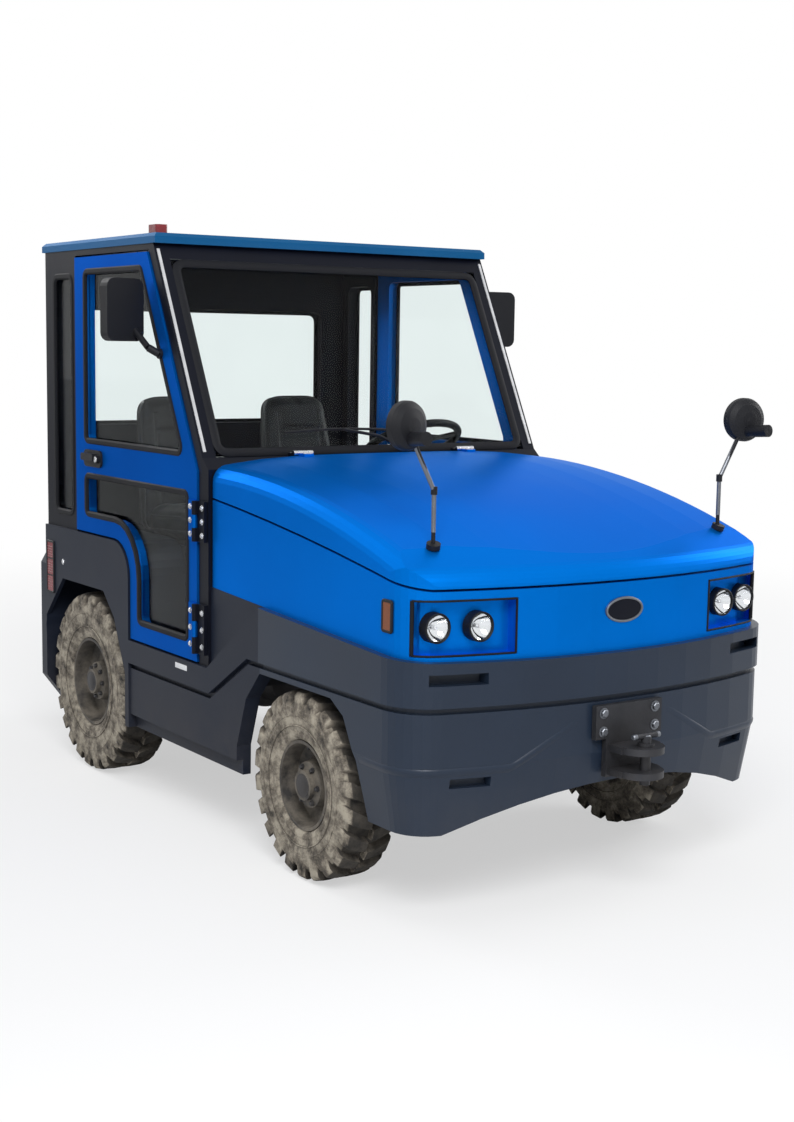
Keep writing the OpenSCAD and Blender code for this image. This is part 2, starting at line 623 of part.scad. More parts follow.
module cab_rear_wall() color(black) facing_rear(cab_rear_x, rear_wall_t) difference() {
    translate([-inner_y, floor_z + floor_t]) square([2 * inner_y, roof_under - floor_z - floor_t]);
    rear_window_shape(0);
    for (s = [0, 1]) mirror([s, 0]) translate([house_y, 0]) square([far, fender_z]);
}
module roof() color(blue) difference() {
    hull() for (e = [[0, 12], [12, 0]]) block([cab_rear_x - roof_lip + e[0], -half_w + 8 + e[0], roof_under],
        [screen_head_x + roof_lip - e[0], half_w - 8 - e[0], roof_z - e[1]]);
    slab(roof_z - roof_lamp_seat, far) roof_lamp_shape(seat_gap);
}
module windscreen() across(-inner_y, inner_y) polygon([
    [screen_foot_x - 5, screen_foot_z], [screen_x(header_z) - 5, header_z],
    [screen_x(header_z) - 5 - glass_t - 1, header_z], [screen_foot_x - 6 - glass_t, screen_foot_z]]);
module rear_glass() facing_rear(cab_rear_x + 14, glass_t) rear_window_shape(0);
module quarter_glass() both_sides()
    across(wall_y - 14 - glass_t, wall_y - 14) eased(34) polygon(quarter_window);
module cab_glass() color(clear, 0.35) { windscreen(); rear_glass(); quarter_glass(); }

// Inside of the cab
module cab_floor() color(black) union() {
    block([cab_rear_x + rear_wall_t, -house_y, floor_z + floor_t], [seat_front_x - 20, house_y, cushion_z]);
    block([cab_rear_x, -house_y, floor_z], [cab_front_x - 12, house_y, floor_z + floor_t]);
    both_sides() block([skirt_rear_x, house_y, floor_z], [cab_front_x - 12, inner_y, floor_z + floor_t]);
}
driver_y = 300;
seat_y = 272;
column_foot = [70, driver_y, 960];
column_dir = [-sin(column_lean), 0, cos(column_lean)];
column_l = 330;
wheel_at = column_foot + column_l * column_dir;
dash_x = -10;
dash_z = 940;
module dashboard() color(black) {
    across(-inner_y, inner_y) polygon([[cab_front_x - 12, floor_z + floor_t], [cab_front_x - 12, cowl_z - 60],
        [cab_front_x - 70, cowl_z - 60], [dash_x + 50, cowl_z - 66], [dash_x, cowl_z - 110],
        [dash_x + 20, dash_z],
        [dash_x + 100, dash_z - 160], [dash_x + 140, floor_z + floor_t]]);
    rod(column_foot, wheel_at - 18 * column_dir, 34);
}
module steering_wheel() color(black) translate(wheel_at) rotate([0, -column_lean, 0]) {
    rotate_extrude($fn = 64) translate([wheel_rim_r - 14, 0]) circle(r = 14, $fn = 20);
    translate([0, 0, -18 + run_gap]) cylinder(h = 36, r = 38, $fn = 40);
    for (a = [0, 120, 240]) rotate(a + 180) translate([20, -14, -6]) cube([wheel_rim_r - 34, 28, 9]);
}
seat_front_x = -300;
cushion_z = 880;
cushion_t = 130;
seat_w = 390;
back_foot_x = -765;
back_h = 545;
back_foot_z = cushion_z + seat_gap;
back_lean = 10;
back_t = 110;
module seat_cushions() color(black) both_sides() translate([0, seat_y, 0]) across(-seat_w / 2, seat_w / 2)
    eased(30) polygon([[seat_front_x, cushion_z + seat_gap], [seat_front_x, cushion_z + cushion_t],
        [back_foot_x + 5, cushion_z + cushion_t - 25], [back_foot_x + 5, cushion_z + seat_gap]]);
module seat_backs() color(black) both_sides() translate([back_foot_x, seat_y, back_foot_z])
    across(-seat_w / 2 + 20, seat_w / 2 - 20) eased(24) polygon([[0, 0], [-back_h * tan(back_lean), back_h],
        [-back_h * tan(back_lean) - back_t + 30, back_h], [-back_t, 0]]);
// Battery: x from, x to, top
battery = [270, 1240, 930];
module battery_pack() color(steel) block([battery[0], -rail_y1, floor_z], [battery[1], rail_y1, battery[2]]);

// Axles
motor_r = 105;
motor_x = -400;
axle_z = rear_tyre_r;
drum_r = 105;
brake_in = 168;
brake_y = rear_hub_y - brake_in;
module rear_axle() color(steel) {
    sideways(rear_axle_x, -brake_y - 5, brake_y + 5, axle_z, 58);
    lengthways(rear_axle_x - 150, rear_axle_x + 165, 0, axle_z, 140);
    lengthways(rear_axle_x + 160, motor_x, 0, axle_z, motor_r);
    both_sides() {
        sideways(rear_axle_x, brake_y, rear_hub_y - 80, axle_z, drum_r + 20);
        sideways(rear_axle_x, brake_y, rear_hub_y + 40, axle_z, spindle_r);
        block([rear_axle_x - 60, rail_y0, axle_z + 30], [rear_axle_x + 60, rail_y1, rail_z]);
    }
}
pivot_y = front_hub_y - pivot_inset;
front_z = front_tyre_r;
boss_r = 34;
boss_z0 = front_z - 55;
boss_z1 = front_z + 55;
ear_t = 28;
// The steering arm swings inwards as far as this from the pivot
arm_swing = 64;
module front_axle() color(steel) {
    block([front_axle_x - 45, -pivot_y + arm_swing + 16, front_z - 40],
        [front_axle_x + 45, pivot_y - arm_swing - 16, front_z + 40]);
    both_sides() {
        upright(front_axle_x, pivot_y, boss_z0 - ear_t - 8, boss_z1 + ear_t + 8, pivot_r);
        for (z = [boss_z0 - run_gap - ear_t, boss_z1 + run_gap]) hull() {
            upright(front_axle_x, pivot_y, z, z + ear_t, boss_r);
            upright(front_axle_x, pivot_y - 60, z, z + ear_t, boss_r);
        }
        block([front_axle_x - 34, pivot_y - 92, boss_z0 - ear_t - run_gap],
            [front_axle_x + 34, pivot_y - arm_swing, boss_z1 + ear_t + run_gap]);
        block([front_axle_x - 40, rail_y0, front_z + 30], [front_axle_x + 40, rail_y1, rail_z]);
    }
}
arm_z = boss_z0 + 2;
arm_t = 18;
eye_r = 18;
ball_r = 9;
module knuckle() color(steel) translate([front_axle_x, 0, 0]) difference() {
    union() {
        upright(0, pivot_y, boss_z0, boss_z1, boss_r);
        sideways(0, pivot_y, front_hub_y + 34, front_z, spindle_r);
        sideways(0, pivot_y + 36, pivot_y + 56, front_z, 96);
        hull() {
            upright(0, pivot_y, arm_z, arm_z + arm_t, 22);
            upright(-arm_l, pivot_y, arm_z, arm_z + arm_t, eye_r - 2);
        }
        upright(-arm_l, pivot_y, arm_z - 34, arm_z + 1, ball_r);
    }
    upright(0, pivot_y, 0, far, pivot_r + run_gap);
}
module knuckle_left() knuckle();
module knuckle_right() mirror([0, 1, 0]) knuckle();
rod_z = arm_z - 16;
module tie_rod() color(steel) translate([front_axle_x - arm_l, 0, 0]) difference() {
    union() {
        sideways(0, -pivot_y, pivot_y, rod_z, 10);
        both_sides() upright(0, pivot_y, rod_z - 12, rod_z + 12, eye_r);
    }
    both_sides() upright(0, pivot_y, 0, far, ball_r + run_gap);
}

// Wheels: one tyre and one rim at each corner
module at_hub(x, y, z, turn) translate([x, y, z]) rotate([90, 0, turn]) children();
// Lugs in two staggered rows: depth, lean towards the shoulder in degrees, gap at the middle of the tyre,
// and the share of the pitch that a lug takes at its inner and at its outer end
lug_d = 24;
lug_lean = 7.4;
lug_gap = 3;
lug_share = [0.50, 0.63];
// How far a shoulder and a wall reach down from the tread
wall_drop = lug_d + 34;
shoulder_drop = 8;
front_lugs = 22;
rear_lugs = 24;
module lugs(r, w, n) intersection() {
    rotate_extrude($fn = 96) polygon(concat([[r - wall_drop, -w * 0.495], [r - shoulder_drop, -w * 0.455]],
        [[r, -w * 0.35], [r, w * 0.35], [r - shoulder_drop, w * 0.455], [r - wall_drop, w * 0.495]]));
    for (row = [-1, 1], i = [0:n - 1]) rotate((i - row / 4) * 360 / n) translate([r - wall_drop + 2, 0, 0])
        rotate([0, 90, 0]) linear_extrude(wall_drop) polygon([for (e = [[0, -1], [1, -1], [1, 1], [0, 1]])
            [-row * (lug_gap + e[0] * w / 2), -e[0] * r * tan(lug_lean) + e[1] * PI * r / n * lug_share[e[0]]]]);
}
module tyre(r, w, rim, n) color(rubber) {
    rotate_extrude($fn = 96) polygon(concat([[rim, -w * 0.40], [rim + 22, -w * 0.465]],
        [[r - wall_drop, -w * 0.4925], [r - lug_d - 4, -w * 0.40], [r - lug_d, -w * 0.31], [r - lug_d, w * 0.31],
        [r - lug_d - 4, w * 0.40], [r - wall_drop, w * 0.4925]], [[rim + 22, w * 0.465], [rim, w * 0.40]]));
    lugs(r, w, n);
}
module rim(r, w) color(black) rotate_extrude($fn = 96) polygon([[spindle_r + run_gap, -w * 0.02],
    [r - 12, -w * 0.10], [r - 10, -w * 0.42], [r - seat_gap, -w * 0.42], [r - seat_gap, w * 0.42],
    [r - 10, w * 0.42], [r - 16, w * 0.10], [r - 50, w * 0.06], [76, w * 0.14], [70, w * 0.30],
    [46, w * 0.33], [46, w * 0.42], [0, w * 0.42], [0, w * 0.36], [spindle_r + run_gap, w * 0.36]]);
module tyre_front_left() at_hub(front_axle_x, front_hub_y, front_z, 180)
    tyre(front_tyre_r, front_tyre_w, front_rim_r, front_lugs);
module tyre_front_right() mirror([0, 1, 0]) tyre_front_left();
module tyre_rear_left() at_hub(rear_axle_x, rear_hub_y, axle_z, 180)
    tyre(rear_tyre_r, rear_tyre_w, rear_rim_r, rear_lugs);
module tyre_rear_right() mirror([0, 1, 0]) tyre_rear_left();
module rim_front_left() at_hub(front_axle_x, front_hub_y, front_z, 180) rim(front_rim_r, front_tyre_w);
module rim_front_right() mirror([0, 1, 0]) rim_front_left();
module rim_rear_left() at_hub(rear_axle_x, rear_hub_y, axle_z, 180) rim(rear_rim_r, rear_tyre_w);
module rim_rear_right() mirror([0, 1, 0]) rim_rear_left();

// Doors
door_y1 = wall_y + door_proud;
door_y0 = door_y1 - door_t;
door_hinge_x = door_front_x + 8;
door_hinge_y = door_y1 + 13;
module door() color(blue) {
    difference() {
        across(door_y0, door_y1) polygon(door_outline(0));
        across(0, far) eased(26) polygon(upper_window);
        across(0, far) eased(26) polygon(lower_window);
    }
    for (row = hinge_rows) door_leaf(row[0], row[1]);
}
module door_left() door();
module door_right() mirror([0, 1, 0]) door();
module door_glass() color(clear, 0.35) across(door_y0 + 20, door_y0 + 20 + glass_t) {
    eased(26) polygon(upper_window);
    eased(26) polygon(lower_window);
}
module door_glass_left() door_glass();
module door_glass_right() mirror([0, 1, 0]) door_glass();
// Door handle: x and z of its middle, length, height
handle = [-688, 1183, 150, 62];
module door_handle() color(black) {
    across(door_y1 + seat_gap, door_y1 + 8) eased(20) translate([handle[0], handle[1]])
        square([handle[2], handle[3]], center = true);
    across(door_y1 + 7, door_y1 + 26) eased(8) translate([handle[0] - 12, handle[1] + 6])
        square([handle[2] - 46, 26], center = true);
    sideways(handle[0] + 54, door_y1 + 7, door_y1 + 20, handle[1], 15);
}
mirror_at = [-232, half_w + 90, 1715];
mirror_foot = [-135, door_y1, 1570];
mirror_size = [44, 144, 210];
mirror_elbow = mirror_foot + [-15, 40, 20];
module door_mirror() color(black) {
    translate(mirror_at) rotate([0, 0, -8]) facing_rear(-mirror_size[0] / 2, mirror_size[0]) eased(28)
        square([mirror_size[1], mirror_size[2]], center = true);
    sideways(mirror_foot[0], door_y1 + seat_gap, door_y1 + 10, mirror_foot[2], 17);
    rod(mirror_foot + [0, 8, 0], mirror_elbow, 13);
    rod(mirror_elbow, mirror_at - [0, 40, 60], 11);
}
module door_fittings_left() { door_handle(); door_mirror(); }
module door_fittings_right() mirror([0, 1, 0]) door_fittings_left();

chassis_frame();
front_bumper();
side_skirts();
rear_fenders();
rear_counterweight();
rear_deck();
bonnet_sides();
headlamps();
corner_lamps();
rear_and_roof_lamps();
front_hitch();
front_hitch_pin();
rear_hitch();
rear_hitch_pin();
cab_frame();
cab_rear_wall();
roof();
cab_glass();
cab_floor();
dashboard();
seat_cushions();
seat_backs();
battery_pack();
rear_axle();
front_axle();
steering_wheel();
tie_rod();
knuckle_left();
knuckle_right();
bonnet_lid();
pole_mirrors();
door_left();
door_right();
door_glass_left();
door_glass_right();
door_fittings_left();
door_fittings_right();
tyre_front_left();
tyre_front_right();
tyre_rear_left();
tyre_rear_right();
rim_front_left();
rim_front_right();
rim_rear_left();
rim_rear_right();
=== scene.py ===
import bpy
import bmesh
import math
from itertools import product
from mathutils import Matrix, Vector
from mathutils.bvhtree import BVHTree
from mathutils.noise import noise as fieldNoise


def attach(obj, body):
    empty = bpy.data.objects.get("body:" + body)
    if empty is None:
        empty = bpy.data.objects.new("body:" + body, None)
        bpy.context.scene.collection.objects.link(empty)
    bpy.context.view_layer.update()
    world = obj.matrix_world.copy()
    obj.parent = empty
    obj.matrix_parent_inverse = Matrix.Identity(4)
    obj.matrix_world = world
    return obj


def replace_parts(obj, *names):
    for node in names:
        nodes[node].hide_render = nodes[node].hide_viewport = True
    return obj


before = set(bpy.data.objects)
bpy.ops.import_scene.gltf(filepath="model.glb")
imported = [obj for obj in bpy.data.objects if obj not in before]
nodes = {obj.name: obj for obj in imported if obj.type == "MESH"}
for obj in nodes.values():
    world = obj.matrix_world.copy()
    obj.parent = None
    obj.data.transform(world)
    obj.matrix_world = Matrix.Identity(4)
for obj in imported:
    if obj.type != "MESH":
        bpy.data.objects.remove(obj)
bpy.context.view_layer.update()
scene = bpy.context.scene
print("stage 1: packed tug loaded,", len(nodes), "nodes")


# Camera: seen from ahead of the right front corner, at head height
cameraSetup = {
    "place": (4.973, -3.197, 1.611),
    "heading": 145.78,   # degrees, 0 looks along +X
    "tilt": -7.39,
    "roll": 0.86,
    "lens": 75.5,
    "sensor": 36.0,
    "farClip": 200.0,
}


def turning(degrees, axis):
    return Matrix.Rotation(math.radians(degrees), 4, axis)


def addObject(name, data):
    made = bpy.data.objects.new(name, data)
    scene.collection.objects.link(made)
    return made


def addCamera(setup):
    data = bpy.data.cameras.new("tugCamera")
    data.sensor_fit = "HORIZONTAL"
    data.sensor_width = setup["sensor"]
    data.lens = setup["lens"]
    data.clip_end = setup["farClip"]
    camera = addObject("tugCamera", data)
    place = Matrix.Translation(setup["place"]) @ turning(setup["heading"] - 90, "Z")
    camera.matrix_world = place @ turning(90 + setup["tilt"], "X") @ turning(setup["roll"], "Z")
    scene.camera = camera


addCamera(cameraSetup)
scene.view_settings.view_transform = "Standard"


# Shader trees are built with these. An input that is given a socket is linked, any other value is set
def fillInputs(tree, node, inputs):
    for key, value in inputs.items():
        if isinstance(value, bpy.types.NodeSocket):
            tree.links.new(value, node.inputs[key])
        else:
            node.inputs[key].default_value = value


def addNode(tree, kind, inputs, output=0, **settings):
    node = tree.nodes.new("ShaderNode" + kind)
    for key, value in settings.items():
        setattr(node, key, value)
    fillInputs(tree, node, inputs)
    return node.outputs[output]


def addMath(tree, operation, first, second=0.0):
    return addNode(tree, "Math", {0: first, 1: second}, operation=operation)


def addNoise(tree, place, scale, detail, rough=0.5):
    inputs = {"Vector": place, "Scale": scale, "Detail": detail, "Roughness": rough}
    return addNode(tree, "TexNoise", inputs, "Fac")


def mapRange(tree, value, source, target, kind="LINEAR"):
    inputs = {"Value": value, "From Min": source[0], "From Max": source[1],
              "To Min": target[0], "To Max": target[1]}
    return addNode(tree, "MapRange", inputs, "Result", interpolation_type=kind)


def addBump(tree, place, scale, detail, strength, depth):
    fine = addNoise(tree, place, scale, detail)
    return addNode(tree, "Bump", {"Height": fine, "Strength": strength, "Distance": depth})


def newMaterial(name):
    material = bpy.data.materials.new(name)
    material.use_nodes = True
    tree = material.node_tree
    return material, tree, tree.nodes["Principled BSDF"], addNode(tree, "TexCoord", {}, "Object")


# Studio: pale floor, white surroundings, one broad key lamp and two fills
studioSetup = {
    "floorColour": (0.86, 0.865, 0.875),
    "floorReach": 60.0,
    "floorGlow": 0.55,
    "fade": (2.6, 7.5),     # metres from the middle of the tug, over which the floor turns white
    "skyColour": (0.97, 0.985, 1.0),
    "skyStrength": 0.42,
    "lamps": [
        # name, place, aimed at, size, watts
        ("keyLamp", (5.6, -3.4, 5.4), (0.2, 0.0, 0.8), 3.2, 430),
        ("sideLamp", (1.0, 6.4, 3.6), (0.0, 0.0, 0.8), 3.2, 150),
        ("rearLamp", (-5.8, -2.2, 4.2), (-0.6, 0.0, 0.9), 3.0, 120),
    ],
}


def addWorld(setup):
    world = bpy.data.worlds.new("studioWorld")
    scene.world = world
    world.use_nodes = True
    tree = world.node_tree
    tree.nodes.clear()
    path = tree.nodes.new("ShaderNodeLightPath")
    direct = addMath(tree, "MAXIMUM", path.outputs["Is Camera Ray"], path.outputs["Is Transmission Ray"])
    seen = addMath(tree, "MAXIMUM", direct, path.outputs["Is Glossy Ray"])
    dim = addNode(tree, "Background", {"Color": (*setup["skyColour"], 1), "Strength": setup["skyStrength"]})
    white = addNode(tree, "Background", {"Color": (1, 1, 1, 1), "Strength": 1.0})
    mix = addNode(tree, "MixShader", {"Fac": seen, 1: dim, 2: white})
    fillInputs(tree, tree.nodes.new("ShaderNodeOutputWorld"), {"Surface": mix})


def addFloor(setup):
    mesh = bpy.data.meshes.new("studioFloor")
    reach = setup["floorReach"]
    mesh.from_pydata([(-reach, -reach, 0), (reach, -reach, 0), (reach, reach, 0), (-reach, reach, 0)], [],
                     [(0, 1, 2, 3)])
    floor = addObject("studioFloor", mesh)
    material = bpy.data.materials.new("paleFloor")
    material.use_nodes = True
    tree = material.node_tree
    tree.nodes.clear()
    # The floor turns white with distance, so no horizon shows
    place = addNode(tree, "TexCoord", {}, "Object")
    away = addNode(tree, "VectorMath", {0: place}, "Value", operation="LENGTH")
    fade = mapRange(tree, away, setup["fade"], (setup["floorGlow"], 1.0), "SMOOTHSTEP")
    path = tree.nodes.new("ShaderNodeLightPath")
    seen = addMath(tree, "MAXIMUM", path.outputs["Is Camera Ray"], path.outputs["Is Transmission Ray"])
    diffuse = addNode(tree, "BsdfDiffuse", {"Color": (*setup["floorColour"], 1)})
    glow = addNode(tree, "Emission", {"Color": (1, 1, 1, 1)})
    mix = addNode(tree, "MixShader", {"Fac": addMath(tree, "MULTIPLY", seen, fade), 1: diffuse, 2: glow})
    fillInputs(tree, tree.nodes.new("ShaderNodeOutputMaterial"), {"Surface": mix})
    mesh.materials.append(material)


def addLamps(setup):
    for name, place, aim, size, watts in setup["lamps"]:
        data = bpy.data.lights.new(name, "AREA")
        data.shape = "SQUARE"
        data.size = size
        data.energy = watts
        lamp = addObject(name, data)
        lamp.location = place
        lamp.rotation_euler = (Vector(aim) - Vector(place)).to_track_quat("-Z", "Y").to_euler()


addWorld(studioSetup)
addFloor(studioSetup)
addLamps(studioSetup)
print("stage 2: camera and studio ready")


# Finishes: a slow drift of colour and gloss, a fine bump, and a colour mixed in between two heights: dust on
# most, a deeper blue towards the bottom on the two blue paints
finishTable = {
    # name: colour, roughness, and what differs from the values that makeFinish starts with
    # The body blue's mixed-in colour, named dust, is a deeper blue, so this paint only turns darker towards
    # the bottom.
    "bluePaint": ((0.0005, 0.158, 0.62), 0.34, dict(
        metal=0.62, drift=0.05, driftScale=1.6, grain=0.05, grainScale=90, dust=0.05,
        dustColour=(0.02, 0.13, 0.32), dustSpan=(1.2, 0.5), shine=0.02, tint=(0.02, 0.43, 1.0))),
    # The doors take the body's blue made darker, a painted shade for the door sides rather than a paint of
    # their own; their mixed-in colour, named dust, is a deeper blue that darkens them further towards the
    # bottom.
    "shadedDoorPaint": ((0.0012, 0.098, 0.42), 0.36, dict(
        metal=0.62, driftScale=2.0, grain=0.05, grainScale=90, dust=0.08,
        dustColour=(0.06, 0.10, 0.20), dustSpan=(1.2, 0.5), shine=0.02, tint=(0.08, 0.40, 1.0))),
    "roofPaint": ((0.007, 0.090, 0.230), 0.42, dict(
        metal=0.30, drift=0.08, driftScale=2.0, grain=0.06, grainScale=120, dust=0.16, dustScale=4,
        dustColour=(0.16, 0.18, 0.20), dustSpan=(1.98, 1.9), shine=0.15, tint=(0.3, 0.6, 0.9))),
    "slatePaint": ((0.0115, 0.0155, 0.0270), 0.42, dict(
        drift=0.10, driftScale=2.2, grain=0.10, grainScale=160, dust=0.40, dustScale=5,
        dustColour=(0.085, 0.078, 0.076), dustSpan=(0.62, 0.2), shine=0.15)),
    "bumperPaint": ((0.0125, 0.0215, 0.0400), 0.36, dict(
        drift=0.10, driftScale=2.2, grain=0.10, grainScale=160, dust=0.22, dustScale=5,
        dustColour=(0.085, 0.080, 0.078), dustSpan=(0.5, 0.2), shine=0.30)),
    "blackPaint": ((0.0045, 0.0055, 0.0105), 0.40, dict(
        drift=0.12, grain=0.06, grainScale=200, dust=0.08,
        dustColour=(0.05, 0.05, 0.055), dustSpan=(1.6, 0.3), shine=0.10)),
    "blackPlastic": ((0.0075, 0.008, 0.0105), 0.5, dict(drift=0.12, grain=0.35, grainScale=520, shine=0.22)),
    "sealRubber": ((0.006, 0.0065, 0.009), 0.62, dict(drift=0.10, grain=0.2, grainScale=420, shine=0.16)),
    "darkSteel": ((0.030, 0.031, 0.036), 0.45, dict(
        metal=0.35, drift=0.25, driftScale=9, grain=0.18, grainScale=240, dust=0.45, dustScale=12,
        dustColour=(0.13, 0.11, 0.09), dustSpan=(0.7, 0.05), shine=0.3)),
    "brightSteel": ((0.62, 0.63, 0.65), 0.24, dict(
        metal=1.0, drift=0.10, driftScale=20, grain=0.05, grainScale=300)),
    "satinSteel": ((0.17, 0.18, 0.20), 0.40, dict(
        metal=0.85, drift=0.12, driftScale=18, grain=0.06, grainScale=260)),
    "chrome": ((0.86, 0.87, 0.88), 0.07, dict(
        metal=1.0, drift=0.03, grain=0.02, grainScale=60, roughDrift=0.03)),
    "mirrorFace": ((0.82, 0.84, 0.86), 0.03, dict(
        metal=1.0, drift=0.02, grain=0.01, grainScale=20, roughDrift=0.01)),
    "seatVinyl": ((0.0065, 0.007, 0.0095), 0.48, dict(
        drift=0.15, driftScale=6, grain=0.5, grainScale=330, shine=0.28, sheen=0.03)),
    "threadBlack": ((0.022, 0.022, 0.025), 0.7, dict(drift=0.2, grain=0.4, grainScale=700)),
    "cabLining": ((0.010, 0.011, 0.016), 0.72, dict(drift=0.15, grain=0.5, grainScale=380, shine=0.2)),
    "rimPaint": ((0.030, 0.028, 0.027), 0.55, dict(
        drift=0.2, driftScale=14, grain=0.15, grainScale=200, dust=1.0, dustScale=11,
        dustColour=(0.24, 0.21, 0.17), dustSpan=(0.9, 0.1), shine=0.3)),
    "amberLens": ((0.17, 0.040, 0.006), 0.20, dict(grain=0.25, grainScale=140)),
    "redLens": ((0.19, 0.012, 0.018), 0.18, dict(drift=0.08, grain=0.25, grainScale=140)),
    "batteryCase": ((0.05, 0.055, 0.06), 0.55, dict(drift=0.15, grain=0.2, grainScale=200)),
    "whitePlate": ((0.70, 0.71, 0.73), 0.4, dict(drift=0.05, grain=0.05, grainScale=120)),
}
glassTable = {"cabGlass": (0.90, 0.945, 0.94), "lampGlass": (0.96, 0.97, 0.98)}
noiseMiddle = (0.3, 0.7)    # where nearly all of a noise's values lie


def makeFinish(name, colour, rough, metal=0.0, drift=0.06, driftScale=3.0, roughDrift=0.06, grain=0.0,
               grainScale=250.0, dust=0.0, dustColour=(0, 0, 0), dustSpan=(1.0, 0.0), dustScale=7.0,
               shine=0.5, sheen=0.0, tint=(1, 1, 1)):
    material, tree, shader, place = newMaterial(name)
    slow = addNoise(tree, place, driftScale, 5.0)
    tone = mapRange(tree, slow, noiseMiddle, (1.0 - drift, 1.0 + drift))
    base = addNode(tree, "HueSaturation", {"Color": (*colour, 1), "Value": tone})
    dull = mapRange(tree, slow, noiseMiddle, (max(0.02, rough - roughDrift), min(1.0, rough + roughDrift)))
    if dust > 0:
        height = mapRange(tree, addNode(tree, "SeparateXYZ", {"Vector": place}, "Z"), dustSpan, (0.0, dust),
                          "SMOOTHSTEP")
        patch = mapRange(tree, addNoise(tree, place, dustScale, 8.0, 0.65), (0.35, 0.72), (0.0, 1.0))
        amount = addMath(tree, "MULTIPLY", height, patch)
        base = addNode(tree, "Mix", {0: amount, 6: base, 7: (*dustColour, 1)}, 2, data_type="RGBA")
        dull = addNode(tree, "Mix", {0: amount, 2: dull, 3: 0.85})
    fillInputs(tree, shader, {
        "Base Color": base, "Roughness": dull, "Metallic": metal, "Specular IOR Level": shine,
        "Specular Tint": (*tint, 1), "Sheen Weight": sheen,
        "Normal": addBump(tree, place, grainScale, 3.0, grain, 0.002)})
    return material


def makeGlass(name, tint):
    material, tree, shader, place = newMaterial(name)
    smear = addNoise(tree, place, 2.5, 4.0)
    tone = mapRange(tree, smear, (0.0, 1.0), (0.96, 1.0))
    fillInputs(tree, shader, {
        "Transmission Weight": 1.0, "IOR": 1.12, "Roughness": mapRange(tree, smear, (0.0, 1.0), (0.0, 0.03)),
        "Base Color": addNode(tree, "HueSaturation", {"Color": (*tint, 1), "Value": tone})})
    return material


# Tyre rubber: black in the tread, pale dust on the walls
tyreRamp = ((0.0, (0.017, 0.016, 0.015, 1)), (0.45, (0.15, 0.13, 0.105, 1)), (1.0, (0.40, 0.36, 0.29, 1)))


def makeTyreFinish(name):
    material, tree, shader, place = newMaterial(name)
    facing = addNode(tree, "NewGeometry", {}, "Normal")
    sideways = addMath(tree, "ABSOLUTE", addNode(tree, "SeparateXYZ", {"Vector": facing}, "Y"))
    wall = mapRange(tree, sideways, (0.30, 0.85), (0.16, 0.95), "SMOOTHSTEP")
    patch = mapRange(tree, addNoise(tree, place, 16.0, 9.0, 0.72), (0.34, 0.60), (0.0, 1.0))
    ramp = tree.nodes.new("ShaderNodeValToRGB")
    ramp.color_ramp.elements.new(tyreRamp[1][0])
    for stop, (position, colour) in zip(ramp.color_ramp.elements, tyreRamp):
        stop.position = position
        stop.color = colour
    fillInputs(tree, ramp, {"Fac": addMath(tree, "MULTIPLY", wall, patch)})
    fillInputs(tree, shader, {
        "Base Color": ramp.outputs["Color"], "Roughness": 0.86, "Specular IOR Level": 0.3,
        "Normal": addBump(tree, place, 120.0, 6.0, 0.5, 0.003)})
    return material


finishes = {}
for name, (colour, rough, more) in finishTable.items():
    finishes[name] = makeFinish(name, colour, rough, **more)
for name, tint in glassTable.items():
    finishes[name] = makeGlass(name, tint)
finishes["tyreRubber"] = makeTyreFinish("tyreRubber")

wheelNames = ("front_left", "front_right", "rear_left", "rear_right")
nodeFinishes = {
    "bluePaint": ["rear_deck", "bonnet_sides", "bonnet_lid"],
    # the doors get the darkened blue, a painted shade
    "shadedDoorPaint": ["door_left", "door_right"],
    "roofPaint": ["roof"],
    "slatePaint": ["side_skirts", "rear_fenders", "rear_counterweight"],
    "bumperPaint": ["front_bumper"],
    "blackPaint": ["cab_frame", "cab_rear_wall"],
    "blackPlastic": ["dashboard", "steering_wheel", "pole_mirrors", "door_fittings_left",
                     "door_fittings_right"],
    "cabLining": ["cab_floor"],
    "darkSteel": ["chassis_frame", "rear_axle", "front_axle", "knuckle_left", "knuckle_right", "tie_rod",
                  "front_hitch", "rear_hitch", "front_hitch_pin", "rear_hitch_pin"],
    "batteryCase": ["battery_pack"],
    "cabGlass": ["cab_glass", "door_glass_left", "door_glass_right"],
    "lampGlass": ["headlamps"],
    "amberLens": ["corner_lamps"],
    "redLens": ["rear_and_roof_lamps"],
    "seatVinyl": ["seat_cushions", "seat_backs"],
    "tyreRubber": ["tyre_" + name for name in wheelNames],
    "rimPaint": ["rim_" + name for name in wheelNames],
}


def paintNodes(table):
    for finish, names in table.items():
        for name in names:
            materials = nodes[name].data.materials
            materials.clear()
            materials.append(finishes[finish])
    missing = set(nodes) - {name for names in table.values() for name in names}
    if missing:
        print("nodes with no finish:", sorted(missing))


paintNodes(nodeFinishes)
print("stage 3: finishes made and put on the nodes")


# Pieces: given a finish, and set to ride on a body of the tug
shadeLimit = math.radians(38)     # an edge that bends more than this stays sharp
bevelLimit = math.radians(35)     # an edge that bends more than this is bevelled


def applyModifiers(piece):
    bpy.context.view_layer.update()
    shaped = bpy.data.meshes.new_from_object(piece.evaluated_get(bpy.context.evaluated_depsgraph_get()))
    piece.modifiers.clear()
    old = piece.data
    piece.data = shaped
    bpy.data.meshes.remove(old)


def shadeByAngle(mesh):
    mesh.polygons.foreach_set("use_smooth", [True] * len(mesh.polygons))
    work = bmesh.new()
    work.from_mesh(mesh)
    for edge in work.edges:
        if len(edge.link_faces) == 2 and edge.calc_face_angle(0) > shadeLimit:
            edge.smooth = False
    work.to_mesh(mesh)
    work.free()


